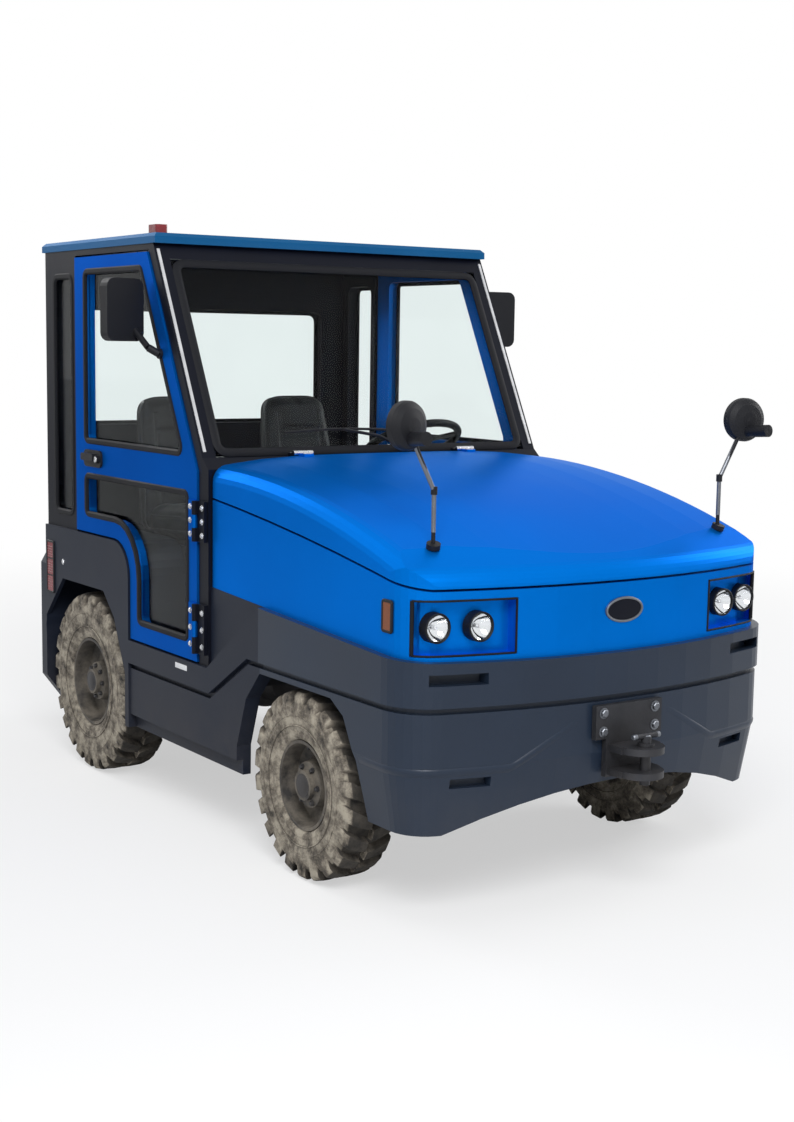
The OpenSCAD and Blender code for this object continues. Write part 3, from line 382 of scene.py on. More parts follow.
def finishPiece(piece, finish, slotName, body="chassis", bevel=0.0, segments=2):
    work = bmesh.new()
    work.from_mesh(piece.data)
    bmesh.ops.recalc_face_normals(work, faces=work.faces)
    work.to_mesh(piece.data)
    work.free()
    piece.data.materials.append(finishes[finish])
    if bevel > 0:
        edge = piece.modifiers.new("softEdge", "BEVEL")
        edge.width = bevel
        edge.segments = segments
        edge.limit_method = "ANGLE"
        edge.angle_limit = bevelLimit
        applyModifiers(piece)
    shadeByAngle(piece.data)
    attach(piece, body)


def around(side, other, degrees):
    angle = math.radians(degrees)
    return side * math.cos(angle) + other * math.sin(angle)


boxFaces = [(0, 3, 2, 1), (4, 5, 6, 7), (0, 1, 5, 4), (1, 2, 6, 5), (2, 3, 7, 6), (3, 0, 4, 7)]


class Shape:
    # Collects points and faces of many small forms for one joined piece
    def __init__(self):
        self.verts = []
        self.faces = []

    def add(self, verts, faces):
        start = len(self.verts)
        self.verts += [Vector(v) for v in verts]
        self.faces += [tuple(start + i for i in face) for face in faces]

    def block(self, low, high):
        (x0, y0, z0), (x1, y1, z1) = low, high
        self.add([(x, y, z) for z in (z0, z1) for x, y in ((x0, y0), (x1, y0), (x1, y1), (x0, y1))], boxFaces)

    def loft(self, rings, looped=True, closed=False):
        # Joins rings of one count. An open loft of looped rings gets end faces
        count, total = len(rings[0]), len(rings)
        faces = []
        for r in range(total if closed else total - 1):
            n = (r + 1) % total
            for k in range(count if looped else count - 1):
                j = (k + 1) % count
                faces.append((r * count + k, n * count + k, n * count + j, r * count + j))
        if looped and not closed:
            faces += [tuple(range(count)), tuple(range((total - 1) * count, total * count))]
        self.add([p for ring in rings for p in ring], faces)

    def dish(self, middle, rings):
        # A sheet of rings round a middle point
        count = len(rings[0])
        sides = [(k, (k + 1) % count) for k in range(count)]
        faces = [(0, 1 + k, 1 + j) for k, j in sides]
        for r in range(len(rings) - 1):
            near, far = 1 + r * count, 1 + (r + 1) * count
            faces += [(near + k, far + k, far + j, near + j) for k, j in sides]
        self.add([middle] + [p for ring in rings for p in ring], faces)

    def turned(self, outline, centre, axis, steps=32):
        # Revolves (distance, height) pairs about an axis through centre
        spin = Vector(axis).normalized()
        side = spin.orthogonal().normalized()
        other = spin.cross(side)
        rings = []
        for step in range(steps):
            ray = around(side, other, 360 * step / steps)
            rings.append([Vector(centre) + ray * r + spin * h for r, h in outline])
        self.loft(rings, looped=False, closed=True)

    def tube(self, points, radius, sides=8):
        # A round tube along a list of points
        points = [Vector(p) for p in points]
        side = (points[1] - points[0]).normalized().orthogonal().normalized()
        rings = []
        for before, point, after in zip(points[:1] + points, points, points[1:] + points[-1:]):
            way = (after - before).normalized()
            side = (side - way * side.dot(way)).normalized()
            other = way.cross(side)
            rings.append([point + around(side, other, 360 * k / sides) * radius for k in range(sides)])
        self.loft(rings)

    def bolt(self, place, axis, radius=0.009, height=0.006):
        # A washer with a domed six-sided head
        wide, foot = radius * 1.35, height * 0.3
        self.turned([(0.0, 0.0), (wide, 0.0), (wide, height * 0.25), (radius, foot)], place, axis, 16)
        self.turned([(radius, foot), (radius, height * 0.8), (radius * 0.8, height), (0.0, height)],
                    place, axis, 6)

    def piece(self, name, finish, slotName, body="chassis", **more):
        mesh = bpy.data.meshes.new(name)
        mesh.from_pydata([tuple(v) for v in self.verts], [], self.faces)
        mesh.update()
        piece = addObject(name, mesh)
        finishPiece(piece, finish, slotName, body, **more)
        return piece


def planeLoops(node, facing, depth=0.002):
    # Edge loops of a node's flat faces that look along facing and lie within depth of the foremost
    mesh = nodes[node].data
    way = Vector(facing)
    flat = [p for p in mesh.polygons if p.normal.dot(way) > 0.995]
    level = {p.index: mesh.vertices[p.vertices[0]].co.dot(way) for p in flat}
    limit = max(level.values()) - depth
    sides = {}
    for polygon in flat:
        if level[polygon.index] > limit:
            ring = [tuple(round(value, 5) for value in mesh.vertices[i].co) for i in polygon.vertices]
            for pair in zip(ring, ring[1:] + ring[:1]):
                sides[pair] = True
    following = {}
    for a, b in sides:
        if (b, a) not in sides:
            following.setdefault(a, []).append(b)
    loops = []
    while following:
        start = here = next(iter(following))
        loop = []
        while here in following and (here != start or not loop):
            loop.append(here)
            onward = following[here].pop()
            if not following[here]:
                del following[here]
            here = onward
        if len(loop) > 2:
            loops.append([Vector(p) for p in loop])
    return loops


def offsetLoop(loop, way, distance):
    # Moves every side of a flat loop outwards by distance
    corners = list(zip(loop[-1:] + loop, loop, loop[1:] + loop[:1]))
    area = sum((p.cross(after) for before, p, after in corners), Vector((0, 0, 0))).dot(way)
    sign = 1.0 if area > 0 else -1.0
    moved = []
    for before, p, after in corners:
        outA = (p - before).normalized().cross(way) * sign
        outB = (after - p).normalized().cross(way) * sign
        middle = outA + outB
        middle = middle.normalized() if middle.length > 1e-6 else outA
        moved.append(p + middle * (distance / max(0.35, middle.dot(outA))))
    return moved


def cleanLoop(loop):
    # Drops points that lie on a straight line or on each other
    kept = [p for i, p in enumerate(loop) if (p - loop[i - 1]).length > 0.0008]
    corners = zip(kept[-1:] + kept, kept, kept[1:] + kept[:1])
    return [p for before, p, after in corners
            if (p - before).normalized().dot((after - p).normalized()) < 0.99995]


def sealShape(shape, loop, facing, outer, inner, low, high):
    # A rounded strip along a loop, from outer to inner, from low to high above its plane
    way = Vector(facing).normalized()
    loop = cleanLoop(loop)
    middle = low + (high - low) * 0.55
    section = [(outer, low), (outer, middle), (outer * 0.75 + inner * 0.25, high),
               (outer * 0.25 + inner * 0.75, high), (inner, middle), (inner, low)]
    shape.loft([[p + way * rise for p in offsetLoop(loop, way, out)] for out, rise in section], closed=True)


# Tyres: a ribbed carcass with two rows of slanted lugs
tyreSetup = {
    "lugDepth": 0.024,
    "lugsPerRow": {"front": 22, "rear": 24},
    "lugShare": 0.60,       # of the pitch
    "lugWidening": (0.82, 0.25),    # at the middle, and how much more at the wall
    "lugFlare": (0.90, 1.12),       # of the outer and the inner face
    "slant": 0.13,          # radians between the middle and the shoulder
    "steps": 96,
    "wheels": {
        # name: place, radius, width, rim radius, outer side
        "front_left": ((0.775, 0.6005, 0.290), 0.290, 0.175, 0.138, 1),
        "front_right": ((0.775, -0.6005, 0.290), 0.290, 0.175, 0.138, -1),
        "rear_left": ((-0.775, 0.593, 0.336), 0.336, 0.190, 0.164, 1),
        "rear_right": ((-0.775, -0.593, 0.336), 0.336, 0.190, 0.164, -1),
    },
    # Heights over the rim's edge or under the carcass, with the share of the half width
    "bead": ((0.001, 0.80), (0.010, 0.90), (0.022, 0.93), (0.026, 0.90), (0.034, 0.955)),
    "shoulder": ((0.034, 0.985), (0.018, 0.93), (0.004, 0.80), (0.0, 0.62), (0.0, 0.30)),
    "flank": 0.985,
    "wallShare": 0.975,
    # Over the rim's edge or under the carcass, width and rise
    "wallRings": ((0.046, 0.006, 0.0035), (0.052, 0.005, 0.003)),
}


def lugStations(radius, base):
    # From the middle to the wall: share of the half width, outer and inner radius
    return [(0.04, radius - 0.001, base - 0.004), (0.35, radius, base - 0.004),
            (0.70, radius - 0.001, base - 0.006), (0.86, radius - 0.005, base - 0.012),
            (0.955, radius - 0.016, base - 0.022), (0.99, base - 0.030, base - 0.036)]


def lugRing(place, station, half, row, middle, pitch):
    share, outer, inner = station
    narrow, more = tyreSetup["lugWidening"]
    lean = tyreSetup["slant"] * (share ** 1.3) * (1 if share < 0.9 else 0.97)
    spread = pitch * tyreSetup["lugShare"] / 2 * (narrow + more * share)
    ring = []
    for r, edge in ((outer, -1), (outer, 1), (inner, 1), (inner, -1)):
        angle = middle + lean + edge * spread * tyreSetup["lugFlare"][0 if r == outer else 1]
        y = half * share * row
        if r == inner and share >= 0.9:
            y -= 0.006 * row
        ring.append(Vector(place) + Vector((math.cos(angle) * r, y, math.sin(angle) * r)))
    return ring


def buildTyre(name, place, radius, width, rim, side):
    base = radius - tyreSetup["lugDepth"]
    half = width / 2
    outline = [(rim + rise, -half * share) for rise, share in tyreSetup["bead"]]
    outline.append(((rim + base) / 2, -half * tyreSetup["flank"]))
    outline += [(base - fall, -half * share) for fall, share in tyreSetup["shoulder"]]
    outline += [(r, -y) for r, y in reversed(outline)]
    shape = Shape()
    shape.turned([(r, y * side) for r, y in outline], place, (0, 1, 0), tyreSetup["steps"])
    for wall in (-1, 1):
        y = half * tyreSetup["wallShare"] * wall
        for edge, sign, (away, wide, rise) in zip((rim, base), (1, -1), tyreSetup["wallRings"]):
            at = edge + sign * away
            top = y + rise * wall
            shape.turned([(at - wide / 2, y), (at - wide / 4, top), (at + wide / 4, top), (at + wide / 2, y)],
                         place, (0, 1, 0), tyreSetup["steps"])
    lugs = tyreSetup["lugsPerRow"][name.split("_")[0]]
    stations = lugStations(radius, base)
    pitch = 2 * math.pi / lugs
    for row in (-1, 1):
        for index in range(lugs):
            middle = index * pitch + 0.25 * pitch * row * side
            shape.loft([lugRing(place, station, half, row, middle, pitch) for station in stations])
    tyre = shape.piece("tyre_" + name + "_lugged", "tyreRubber", "tyre_rubber", name + "_wheel",
                       bevel=0.0025, segments=1)
    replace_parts(tyre, "tyre_" + name)


for name, measures in tyreSetup["wheels"].items():
    buildTyre(name, *measures)
print("stage 4: tyres made")


# Wheel nuts, valve and hub cap with a raised rim on each wheel
rimSetup = {
    "nuts": {"front": 6, "rear": 8},
    "nutCircle": 0.058,
    "nut": (0.007, 0.010),      # radius, height
    "nutShare": 0.3175,         # of the tyre's width, from the middle outwards
    "capShare": 0.42,
    "cap": ((0.0, 0.004), (0.024, 0.004), (0.030, 0.001), (0.036, 0.001), (0.038, -0.004)),
    "valve": (0.030, 0.15),     # inwards of the rim's edge, share of the width
    "valveStem": (0.030, 0.004, 0.004),    # outwards, upwards, radius
}


def addRimDetail():
    for name, (place, _, width, rim, side) in tyreSetup["wheels"].items():
        middle, across, up = Vector(place), Vector((0, side, 0)), Vector((0, 0, 1))
        shape = Shape()
        count = rimSetup["nuts"][name.split("_")[0]]
        for i in range(count):
            ray = around(Vector((1, 0, 0)), up, 360 * i / count)
            shape.bolt(middle + across * width * rimSetup["nutShare"] + ray * rimSetup["nutCircle"], across,
                       *rimSetup["nut"])
        y = side * width * rimSetup["capShare"]
        shape.turned([(r, y + side * rise) for r, rise in rimSetup["cap"]], place, (0, 1, 0), 32)
        inwards, share = rimSetup["valve"]
        out, rise, thick = rimSetup["valveStem"]
        valve = middle + up * (rim - inwards) + across * width * share
        shape.tube([valve, valve + across * out + up * rise], thick)
        shape.piece("wheel_nuts_" + name, "darkSteel", "wheel_rims", name + "_wheel")


addRimDetail()
print("stage 5: wheel details made")


# Outline of the front body from above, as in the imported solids
bodyPlan = {
    "bowMiddle": -0.640,
    "bowRadius": 2.100,
    "cornerX": 1.2308,
    "cornerY": 0.550,
    "cornerRadius": 0.150,
}


def frontX(y, inset):
    reach = bodyPlan["bowRadius"] - inset
    turnover = reach * bodyPlan["cornerY"] / (bodyPlan["bowRadius"] - bodyPlan["cornerRadius"])
    if abs(y) <= turnover:
        return bodyPlan["bowMiddle"] + math.sqrt(reach ** 2 - y * y)
    left = (bodyPlan["cornerRadius"] - inset) ** 2 - (abs(y) - bodyPlan["cornerY"]) ** 2
    return bodyPlan["cornerX"] + math.sqrt(max(0.0, left))


def skinOf(mesh):
    return BVHTree.FromPolygons([v.co for v in mesh.vertices], [tuple(p.vertices) for p in mesh.polygons])


# Pressed ledge on the bumper: level round the corners, rising and fading towards the hitch
ledgeSetup = {
    "ends": (0.170, 1.090),    # nearest the middle (y), and rearmost on the side (x)
    "low": 0.455,
    "high": 0.565,
    "rise": (0.386, 0.180),    # the rise lies between these two distances from the middle
    "step": 0.020,
    "fade": (8, 3),            # stations over which it fades in front and at the side
    "back": 0.004,             # how far it reaches into the bumper
    # height from the ledge's line, distance proud
    "section": ((0.007, -0.0015), (0.002, 0.0024), (-0.003, 0.0042), (-0.009, 0.0038), (-0.016, 0.0016),
                (-0.022, -0.0010)),
}


def bumperStations():
    # Points and outward directions along the front's outline, from the middle round to the side
    stations = []
    y = ledgeSetup["ends"][0]
    while y < bodyPlan["cornerY"]:
        slope = math.asin(y / bodyPlan["bowRadius"])
        stations.append((Vector((frontX(y, 0.0), y, 0)), Vector((math.cos(slope), math.sin(slope), 0))))
        y += ledgeSetup["step"]
    corner = Vector((bodyPlan["cornerX"], bodyPlan["cornerY"], 0))
    for turn in range(16, 91, 6):
        ray = around(Vector((1, 0, 0)), Vector((0, 1, 0)), turn)
        stations.append((corner + ray * bodyPlan["cornerRadius"], ray))
    x = bodyPlan["cornerX"] - ledgeSetup["step"]
    while x > ledgeSetup["ends"][1]:
        stations.append((Vector((x, bodyPlan["cornerY"] + bodyPlan["cornerRadius"], 0)), Vector((0, 1, 0))))
        x -= ledgeSetup["step"]
    return stations


def addBumperLedge():
    skin = skinOf(nodes["front_bumper"].data)
    outer, inner = ledgeSetup["rise"]
    fadeIn, fadeOut = ledgeSetup["fade"]
    stations = bumperStations()
    shape = Shape()
    for side in (-1, 1):
        rings = []
        for index, (point, way) in enumerate(stations):
            share = min(1.0, max(0.0, (outer - point.y) / (outer - inner)))
            level = ledgeSetup["low"] + (ledgeSetup["high"] - ledgeSetup["low"]) * share
            fade = min(1.0, index / fadeIn, (len(stations) - 1 - index) / fadeOut)
            outward = Vector((way.x, way.y * side, 0))
            ring = []
            for rise, proud in ledgeSetup["section"]:
                start = Vector((point.x, point.y * side, level + rise)) + outward * 0.2
                hit = skin.ray_cast(start, -outward, 0.4)[0]
                if hit is not None:
                    ring.append(hit + outward * (proud * fade if proud > 0 else proud))
            if len(ring) == len(ledgeSetup["section"]):
                rings.append(ring + [p - outward * ledgeSetup["back"] for p in (ring[-1], ring[0])])
        shape.loft(rings)
    shape.piece("bumper_ledges", "bumperPaint", "slate_panels")


addBumperLedge()


# Window seals, built along the panes' own outlines
sealSetup = {
    # node: facing, search depth (hinges stand proud of the panels), least and most width and height, section
    "door_left": ((0, 1, 0), 0.050, (0.3, 0.93), (0.3, 1.2), (0.007, -0.016, -0.007, 0.004)),
    "door_right": ((0, -1, 0), 0.050, (0.3, 0.93), (0.3, 1.2), (0.007, -0.016, -0.007, 0.004)),
    "cab_rear_wall": ((-1, 0, 0), 0.002, (0.8, 1.12), (0.0, 0.6), (0.014, -0.014, -0.006, 0.006)),
    "cab_frame": ((0, 1, 0), 0.050, (0.1, 0.25), (0.5, 1.0), (0.010, -0.014, -0.007, 0.0035)),
}


def addSealOf(shape, node, mirrored=False):
    facing, depth, widths, heights, section = sealSetup[node]
    way = -Vector(facing) if mirrored else Vector(facing)
    for loop in planeLoops(node, way, depth):
        sizes = [max(p[i] for p in loop) - min(p[i] for p in loop) for i in range(3)]
        if widths[0] < max(sizes[0], sizes[1]) < widths[1] and heights[0] < sizes[2] < heights[1]:
            sealShape(shape, loop, way, *section)


def addSeals():
    for side in ("left", "right"):
        shape = Shape()
        addSealOf(shape, "door_" + side)
        shape.piece("door_seals_" + side, "sealRubber", "black_plastic", side + "_door")
    rear = Shape()
    addSealOf(rear, "cab_rear_wall")
    rear.piece("rear_window_seal", "sealRubber", "black_plastic")
    quarter = Shape()
    addSealOf(quarter, "cab_frame")
    addSealOf(quarter, "cab_frame", True)
    quarter.piece("quarter_window_seals", "sealRubber", "black_plastic")


addSeals()


# Windscreen: seal, bright pillar strips and the wiper
screenSetup = {
    "foot": (0.152, 1.238),
    "lean": 26.95,
    "length": 0.729,
    "halfWidth": 0.638,
    "corner": 0.045,
    "gap": 0.004,
    "sealLift": -0.0045,
    "seal": (0.004, -0.026, -0.001, 0.009),    # outer, inner, low, high
    "stripY": 0.6745,
    "stripAlong": (0.02, 0.30, 0.60, 0.765),
    "stripSection": ((-0.0060, 0.0003), (-0.0048, 0.0028), (0.0048, 0.0028), (0.0060, 0.0003)),
    "wiperFoot": (0.008, 0.10),    # along the screen, sideways
    "wiperKnob": ((0.0, 0.026), (0.010, 0.025), (0.014, 0.020), (0.017, 0.006), (0.019, 0.0), (0.0, 0.0)),
    "wiperArm": ((0.055, -0.10, 0.024), (0.082, -0.235, 0.022)),    # along, sideways of the foot, lift
    "blade": (0.235, 0.010, 0.002),    # half length, depth and thickness of the lip
    "bladeArc": (0.075, 0.012, 1.4),   # along, bulge, angle
}


def onScreen(along, y, lift):
    lean = math.radians(screenSetup["lean"])
    x0, z0 = screenSetup["foot"]
    return Vector((x0 - math.sin(lean) * along + math.cos(lean) * lift, y,
                   z0 + math.cos(lean) * along + math.sin(lean) * lift))


def addScreenSeal(way):
    corner, gap = screenSetup["corner"], screenSetup["gap"]
    side = screenSetup["halfWidth"] - gap - corner
    high, low = screenSetup["length"] - gap - corner, corner + 0.006
    loop = []
    for y, along, start in ((side, high, 0), (-side, high, 90), (-side, low, 180), (side, low, 270)):
        for k in range(7):
            angle = math.radians(start + 15 * k)
            loop.append(onScreen(along + corner * math.sin(angle), y + corner * math.cos(angle),
                                 screenSetup["sealLift"]))
    shape = Shape()
    sealShape(shape, loop, way, *screenSetup["seal"])
    shape.piece("windscreen_seal", "sealRubber", "black_plastic")


def addPillarStrips():
    strips = Shape()
    for side in (-1, 1):
        y = screenSetup["stripY"] * side
        strips.loft([[onScreen(along, y + across, lift) for across, lift in screenSetup["stripSection"]]
                     for along in screenSetup["stripAlong"]])
    strips.piece("pillar_strips", "brightSteel", "black_frame")


def addWiper(way):
    wiper = Shape()
    along, y = screenSetup["wiperFoot"]
    half, depth, thick = screenSetup["blade"]
    start, bulge, bend = screenSetup["bladeArc"]
    foot = onScreen(along, y, 0.004)
    wiper.turned(screenSetup["wiperKnob"], foot, way, 20)
    arm = [onScreen(at, y + sideways, lift) for at, sideways, lift in screenSetup["wiperArm"]]
    wiper.tube([foot + way * 0.016] + arm, 0.0055)
    blade = [onScreen(start + bulge * math.cos(t * bend), y - half + t * half, 0.016)
             for t in (-1, -0.6, -0.2, 0.2, 0.6, 1)]
    wiper.tube(blade, 0.0045)
    for a, b in zip(blade, blade[1:]):
        lip = [a, b, b - way * depth, a - way * depth]
        wiper.add(lip + [p + Vector((0, 0, thick)) for p in lip], boxFaces)
    wiper.piece("screen_wiper", "blackPlastic", "black_plastic")


screenWay = onScreen(0, 0, 1) - onScreen(0, 0, 0)
addScreenSeal(screenWay)
addPillarStrips()
addWiper(screenWay)
print("stage 6: window seals, pillar strips and wiper made")


# Headlamps: bowl, bulb, ribbed lens and bezel in each, and a dark frame round each pair
headlampSetup = {
    "rows": (0.462, 0.585),
    "height": 0.846,
    "radius": 0.0425,
    "inset": 0.066,
    "setBack": 0.0035,
    "bowl": (0.004, 0.003, 0.025),    # radius and height of its floor, and its depth
    "bulb": ((0.0, 0.021), (0.004, 0.020), (0.0055, 0.016), (0.0055, 0.008), (0.003, 0.003)),
    # The lens's dome, as shares of the radius, and its rim, inwards of the radius
    "dome": ((0.0, 0.0345), (0.3, 0.0342), (0.6, 0.0334), (0.86, 0.0315)),
    "lensRim": ((0.005, 0.030), (0.005, 0.0285)),
    "lensRib": 0.0012,
    # The bezel, inwards of the radius
    "bezel": ((0.006, 0.026), (0.006, 0.033), (0.003, 0.0355), (0.0, 0.034), (0.0, 0.001), (0.003, 0.0005)),
    "screws": (35, 155, 275),
    "screw": ((0.0, 0.0012), (0.0014, 0.001), (0.0018, 0.0)),
    "frame": (0.366, 0.651, 0.771, 0.923),    # from and to, sideways and upwards
    "frameInset": 0.0245,
    "frameBars": (0.0032, 0.006),             # radius, and that of the outermost upright
}


def addHeadlamps():
    bowls, bulbs, lenses, bezels = Shape(), Shape(), Shape(), Shape()
    r = headlampSetup["radius"]
    floor, rise, deep = headlampSetup["bowl"]
    bowl = [(floor + (r - 0.003 - floor) * (k / 8), rise + deep * (k / 8) ** 2) for k in range(9)]
    lens = [(r * share, height) for share, height in headlampSetup["dome"]]
    lens += [(r - inwards, height) for inwards, height in headlampSetup["lensRim"]]
    edge, under = lens[-1]
    lens += [(edge * k / 9.5, under + headlampSetup["lensRib"] * (k % 2)) for k in range(9, -1, -1)]
    bezel = [(r - inwards, height) for inwards, height in headlampSetup["bezel"]]
    bezel.append((0.0, bezel[-1][1]))
    ahead = Vector((1, 0, 0))
    for side in (-1, 1):
        for row in headlampSetup["rows"]:
            x = frontX(row, headlampSetup["inset"]) - headlampSetup["setBack"]
            back = Vector((x, row * side, headlampSetup["height"]))
            bowls.turned(bowl, back, ahead, 40)
            bulbs.turned(headlampSetup["bulb"], back, ahead, 16)
            lenses.turned(lens, back, ahead, 40)
            bezels.turned(bezel, back, ahead, 40)
            for turn in headlampSetup["screws"]:
                ray = around(Vector((0, 1, 0)), Vector((0, 0, 1)), turn)
                bezels.turned(headlampSetup["screw"], back + ahead * 0.0345 + ray * (r - 0.003), ahead, 8)
    bowls.piece("headlamp_bowls", "chrome", "clear_lamps")
    bulbs.piece("headlamp_bulbs", "whitePlate", "clear_lamps")
    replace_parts(lenses.piece("headlamp_lenses", "lampGlass", "clear_lamps"), "headlamps")
    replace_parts(bezels.piece("headlamp_bezels", "blackPlastic", "clear_lamps"), "headlamps")


def addHeadlampFrames():
    frames = Shape()
    y0, y1, z0, z1 = headlampSetup["frame"]
    thin, thick = headlampSetup["frameBars"]
    steps = 18
    for side in (-1, 1):
        along = [y0 + (y1 - y0) * k / steps for k in range(steps + 1)]
        lower = [Vector((frontX(y, headlampSetup["frameInset"]), side * y, z0)) for y in along]
        upper = [Vector((p.x, p.y, z1)) for p in lower]
        frames.tube(lower, thin)
        frames.tube(upper, thin)
        frames.tube([lower[0], upper[0]], thin)
        frames.tube([lower[-1], upper[-1]], thick)
    frames.piece("headlamp_frames", "sealRubber", "black_plastic")


addHeadlamps()
addHeadlampFrames()


# Bare oval plate on the nose, where such tugs carry a badge
nosePlate = {
    "height": 0.869,
    "half": (0.071, 0.038),
    "inset": 0.024,
    "section": ((0.0, -0.001), (0.00092, 0.004), (0.00368, 0.0055), (0.00736, 0.004), (0.00828, 0.001)),
    "faceShrink": 0.0069,
    "faceRise": (0.0032, 0.0018),    # at the middle, and by how much it falls to the rim
    "steps": 48,
}


def onNose(step, shrink, share, rise):
    angle = 2 * math.pi * step / nosePlate["steps"]
    y = (nosePlate["half"][0] - shrink) * share * math.cos(angle)
    z = nosePlate["height"] + (nosePlate["half"][1] - shrink) * share * math.sin(angle)
    return Vector((frontX(y, nosePlate["inset"]) + rise, y, z))


def addNosePlate():
    ring, face = Shape(), Shape()
    steps = range(nosePlate["steps"])
    ring.loft([[onNose(k, shrink, 1.0, rise) for shrink, rise in nosePlate["section"]] for k in steps],
              looped=False, closed=True)
    ring.piece("nose_plate_rim", "satinSteel", "black_plastic")
    shrink = nosePlate["faceShrink"]
    top, fall = nosePlate["faceRise"]
    face.dish(onNose(0, shrink, 0.0, top),
              [[onNose(k, shrink, r / 5, top - fall * (r / 5) ** 4) for k in steps] for r in range(1, 6)])
    face.piece("nose_plate_face", "blackPaint", "black_plastic")


addNosePlate()
print("stage 7: headlamps and nose plate made")


# Padded forms: a rounded box of soft stuffing, swelled by a cloth simulation and then sewn
padSetup = {
    "voxel": 0.006,
    "cuts": 14,
    "pressure": 4.0,
    "frames": 20,
    "quality": 4,
    "stiffness": 12,
    "bending": 0.6,
    "cap": 0.012,              # the furthest that a point may travel
    "relax": 4,
    "seam": (0.0065, 0.0075),  # depth and half width of a sewn channel
    "crease": (26, 0.0009),    # scale and height
    "piping": 0.0042,
    "fill": 0.85,
}


def roundedBox(half, radius, cuts):
    work = bmesh.new()
    bmesh.ops.create_cube(work, size=2.0)
    bmesh.ops.subdivide_edges(work, edges=work.edges[:], cuts=cuts, use_grid_fill=True)
    for vert in work.verts:
        p = Vector([vert.co[i] * half[i] for i in range(3)])
        core = Vector([max(-half[i] + radius, min(half[i] - radius, p[i])) for i in range(3)])
        out = p - core
        vert.co = core + out.normalized() * radius if out.length > 1e-9 else p
    return work


def swell(piece):
    # Inflates the pad as cloth, with every point's travel capped
    remesh = piece.modifiers.new("even", "REMESH")
    remesh.mode = "VOXEL"
    remesh.voxel_size = padSetup["voxel"]
    applyModifiers(piece)
    mesh = piece.data
    start = [v.co.copy() for v in mesh.vertices]
    cloth = piece.modifiers.new("stuffing", "CLOTH")
    cloth.settings.quality = padSetup["quality"]
    cloth.settings.use_pressure = True
    cloth.settings.uniform_pressure_force = padSetup["pressure"]
    cloth.settings.effector_weights.gravity = 0.0
    cloth.settings.tension_stiffness = padSetup["stiffness"]
    cloth.settings.compression_stiffness = padSetup["stiffness"]
    cloth.settings.bending_stiffness = padSetup["bending"]
    cloth.point_cache.frame_start = 1
    cloth.point_cache.frame_end = padSetup["frames"]
    for step in range(1, padSetup["frames"] + 1):
        scene.frame_set(step)
    shaped = piece.evaluated_get(bpy.context.evaluated_depsgraph_get()).data
    moved = [v.co.copy() for v in shaped.vertices]
    piece.modifiers.clear()
    scene.frame_set(1)
    for vert, a, b in zip(mesh.vertices, start, moved):
        travel = b - a
        if travel.length > padSetup["cap"]:
            travel *= padSetup["cap"] / travel.length
        vert.co = a + travel
    smooth = piece.modifiers.new("relax", "SMOOTH")
    smooth.iterations = padSetup["relax"]
    applyModifiers(piece)


def sewPad(mesh, spec):
    # Presses the sewn channels and the finest creases into the stuffed face
    half, (facingAxis, sign) = spec["half"], spec["face"]
    depth, channel = padSetup["seam"]
    scale, height = padSetup["crease"]
    mesh.update()
    normals = [v.normal.copy() for v in mesh.vertices]
    for vert, normal in zip(mesh.vertices, normals):
        p = vert.co
        facing = max(0.0, normal[facingAxis] * sign)
        if facing > 0.15:
            dip = 0.0
            for axis, at, low, high in spec["channels"]:
                other = 3 - facingAxis - axis
                if low <= p[other] / half[other] <= high:
                    near = (p[axis] - at * half[axis]) / channel
                    dip = max(dip, math.exp(-near * near))
            vert.co = p - normal * depth * dip * min(1.0, facing * 1.6)
        crease = fieldNoise(Vector((p.x * scale + spec["seed"], p.y * scale, p.z * scale))) * height
        vert.co = vert.co + normal * crease


seatSetup = {
    "middles": (("left", 0.272), ("right", -0.272)),
    "cushion": {
        "half": (0.220, 0.186, 0.0545),
        "radius": 0.038,
        "place": (-0.531, 0.945),
        "tilt": 2.6,
        "rise": 0.0,
        "face": (2, 1),      # axis and sign of the sewn side
        # axis, place, and the two ends on the other axis, as shares of half the size
        "channels": ((1, 0.56, -0.93, 0.86), (1, -0.56, -0.93, 0.86), (0, 0.30, -0.56, 0.56),
                     (0, -0.34, -0.56, 0.56)),
        "welts": (0.55, -0.62),
        "weltCorner": 0.05,
        "seed": 3.0,
    },
    "back": {
        "half": (0.0385, 0.166, 0.265),
        "radius": 0.034,
        "place": (-0.8165, 0.8815),
        "tilt": 10.0,
        "rise": 0.269,
        "taper": 0.16,
        "face": (0, 1),
        "channels": ((1, 0.56, -0.9, 0.72), (1, -0.56, -0.9, 0.72), (2, -0.42, -0.56, 0.56),
                     (2, 0.02, -0.56, 0.56), (2, 0.46, -0.56, 0.56)),
        "welts": (0.5, -0.5),
        "weltCorner": 0.06,
        "seed": 8.0,
    },
}


def cushionShape(p):
    half = seatSetup["cushion"]["half"]
    edge = abs(p.y) / half[1]
    bolster = 0.006 * max(0.0, edge - 0.6) / 0.4 if p.z > 0 else 0.0
    nose = -0.020 * max(0.0, (p.x / half[0] - 0.72) / 0.28) ** 2 if p.z > 0 else 0.0
    return Vector((p.x, p.y, p.z + bolster + nose))


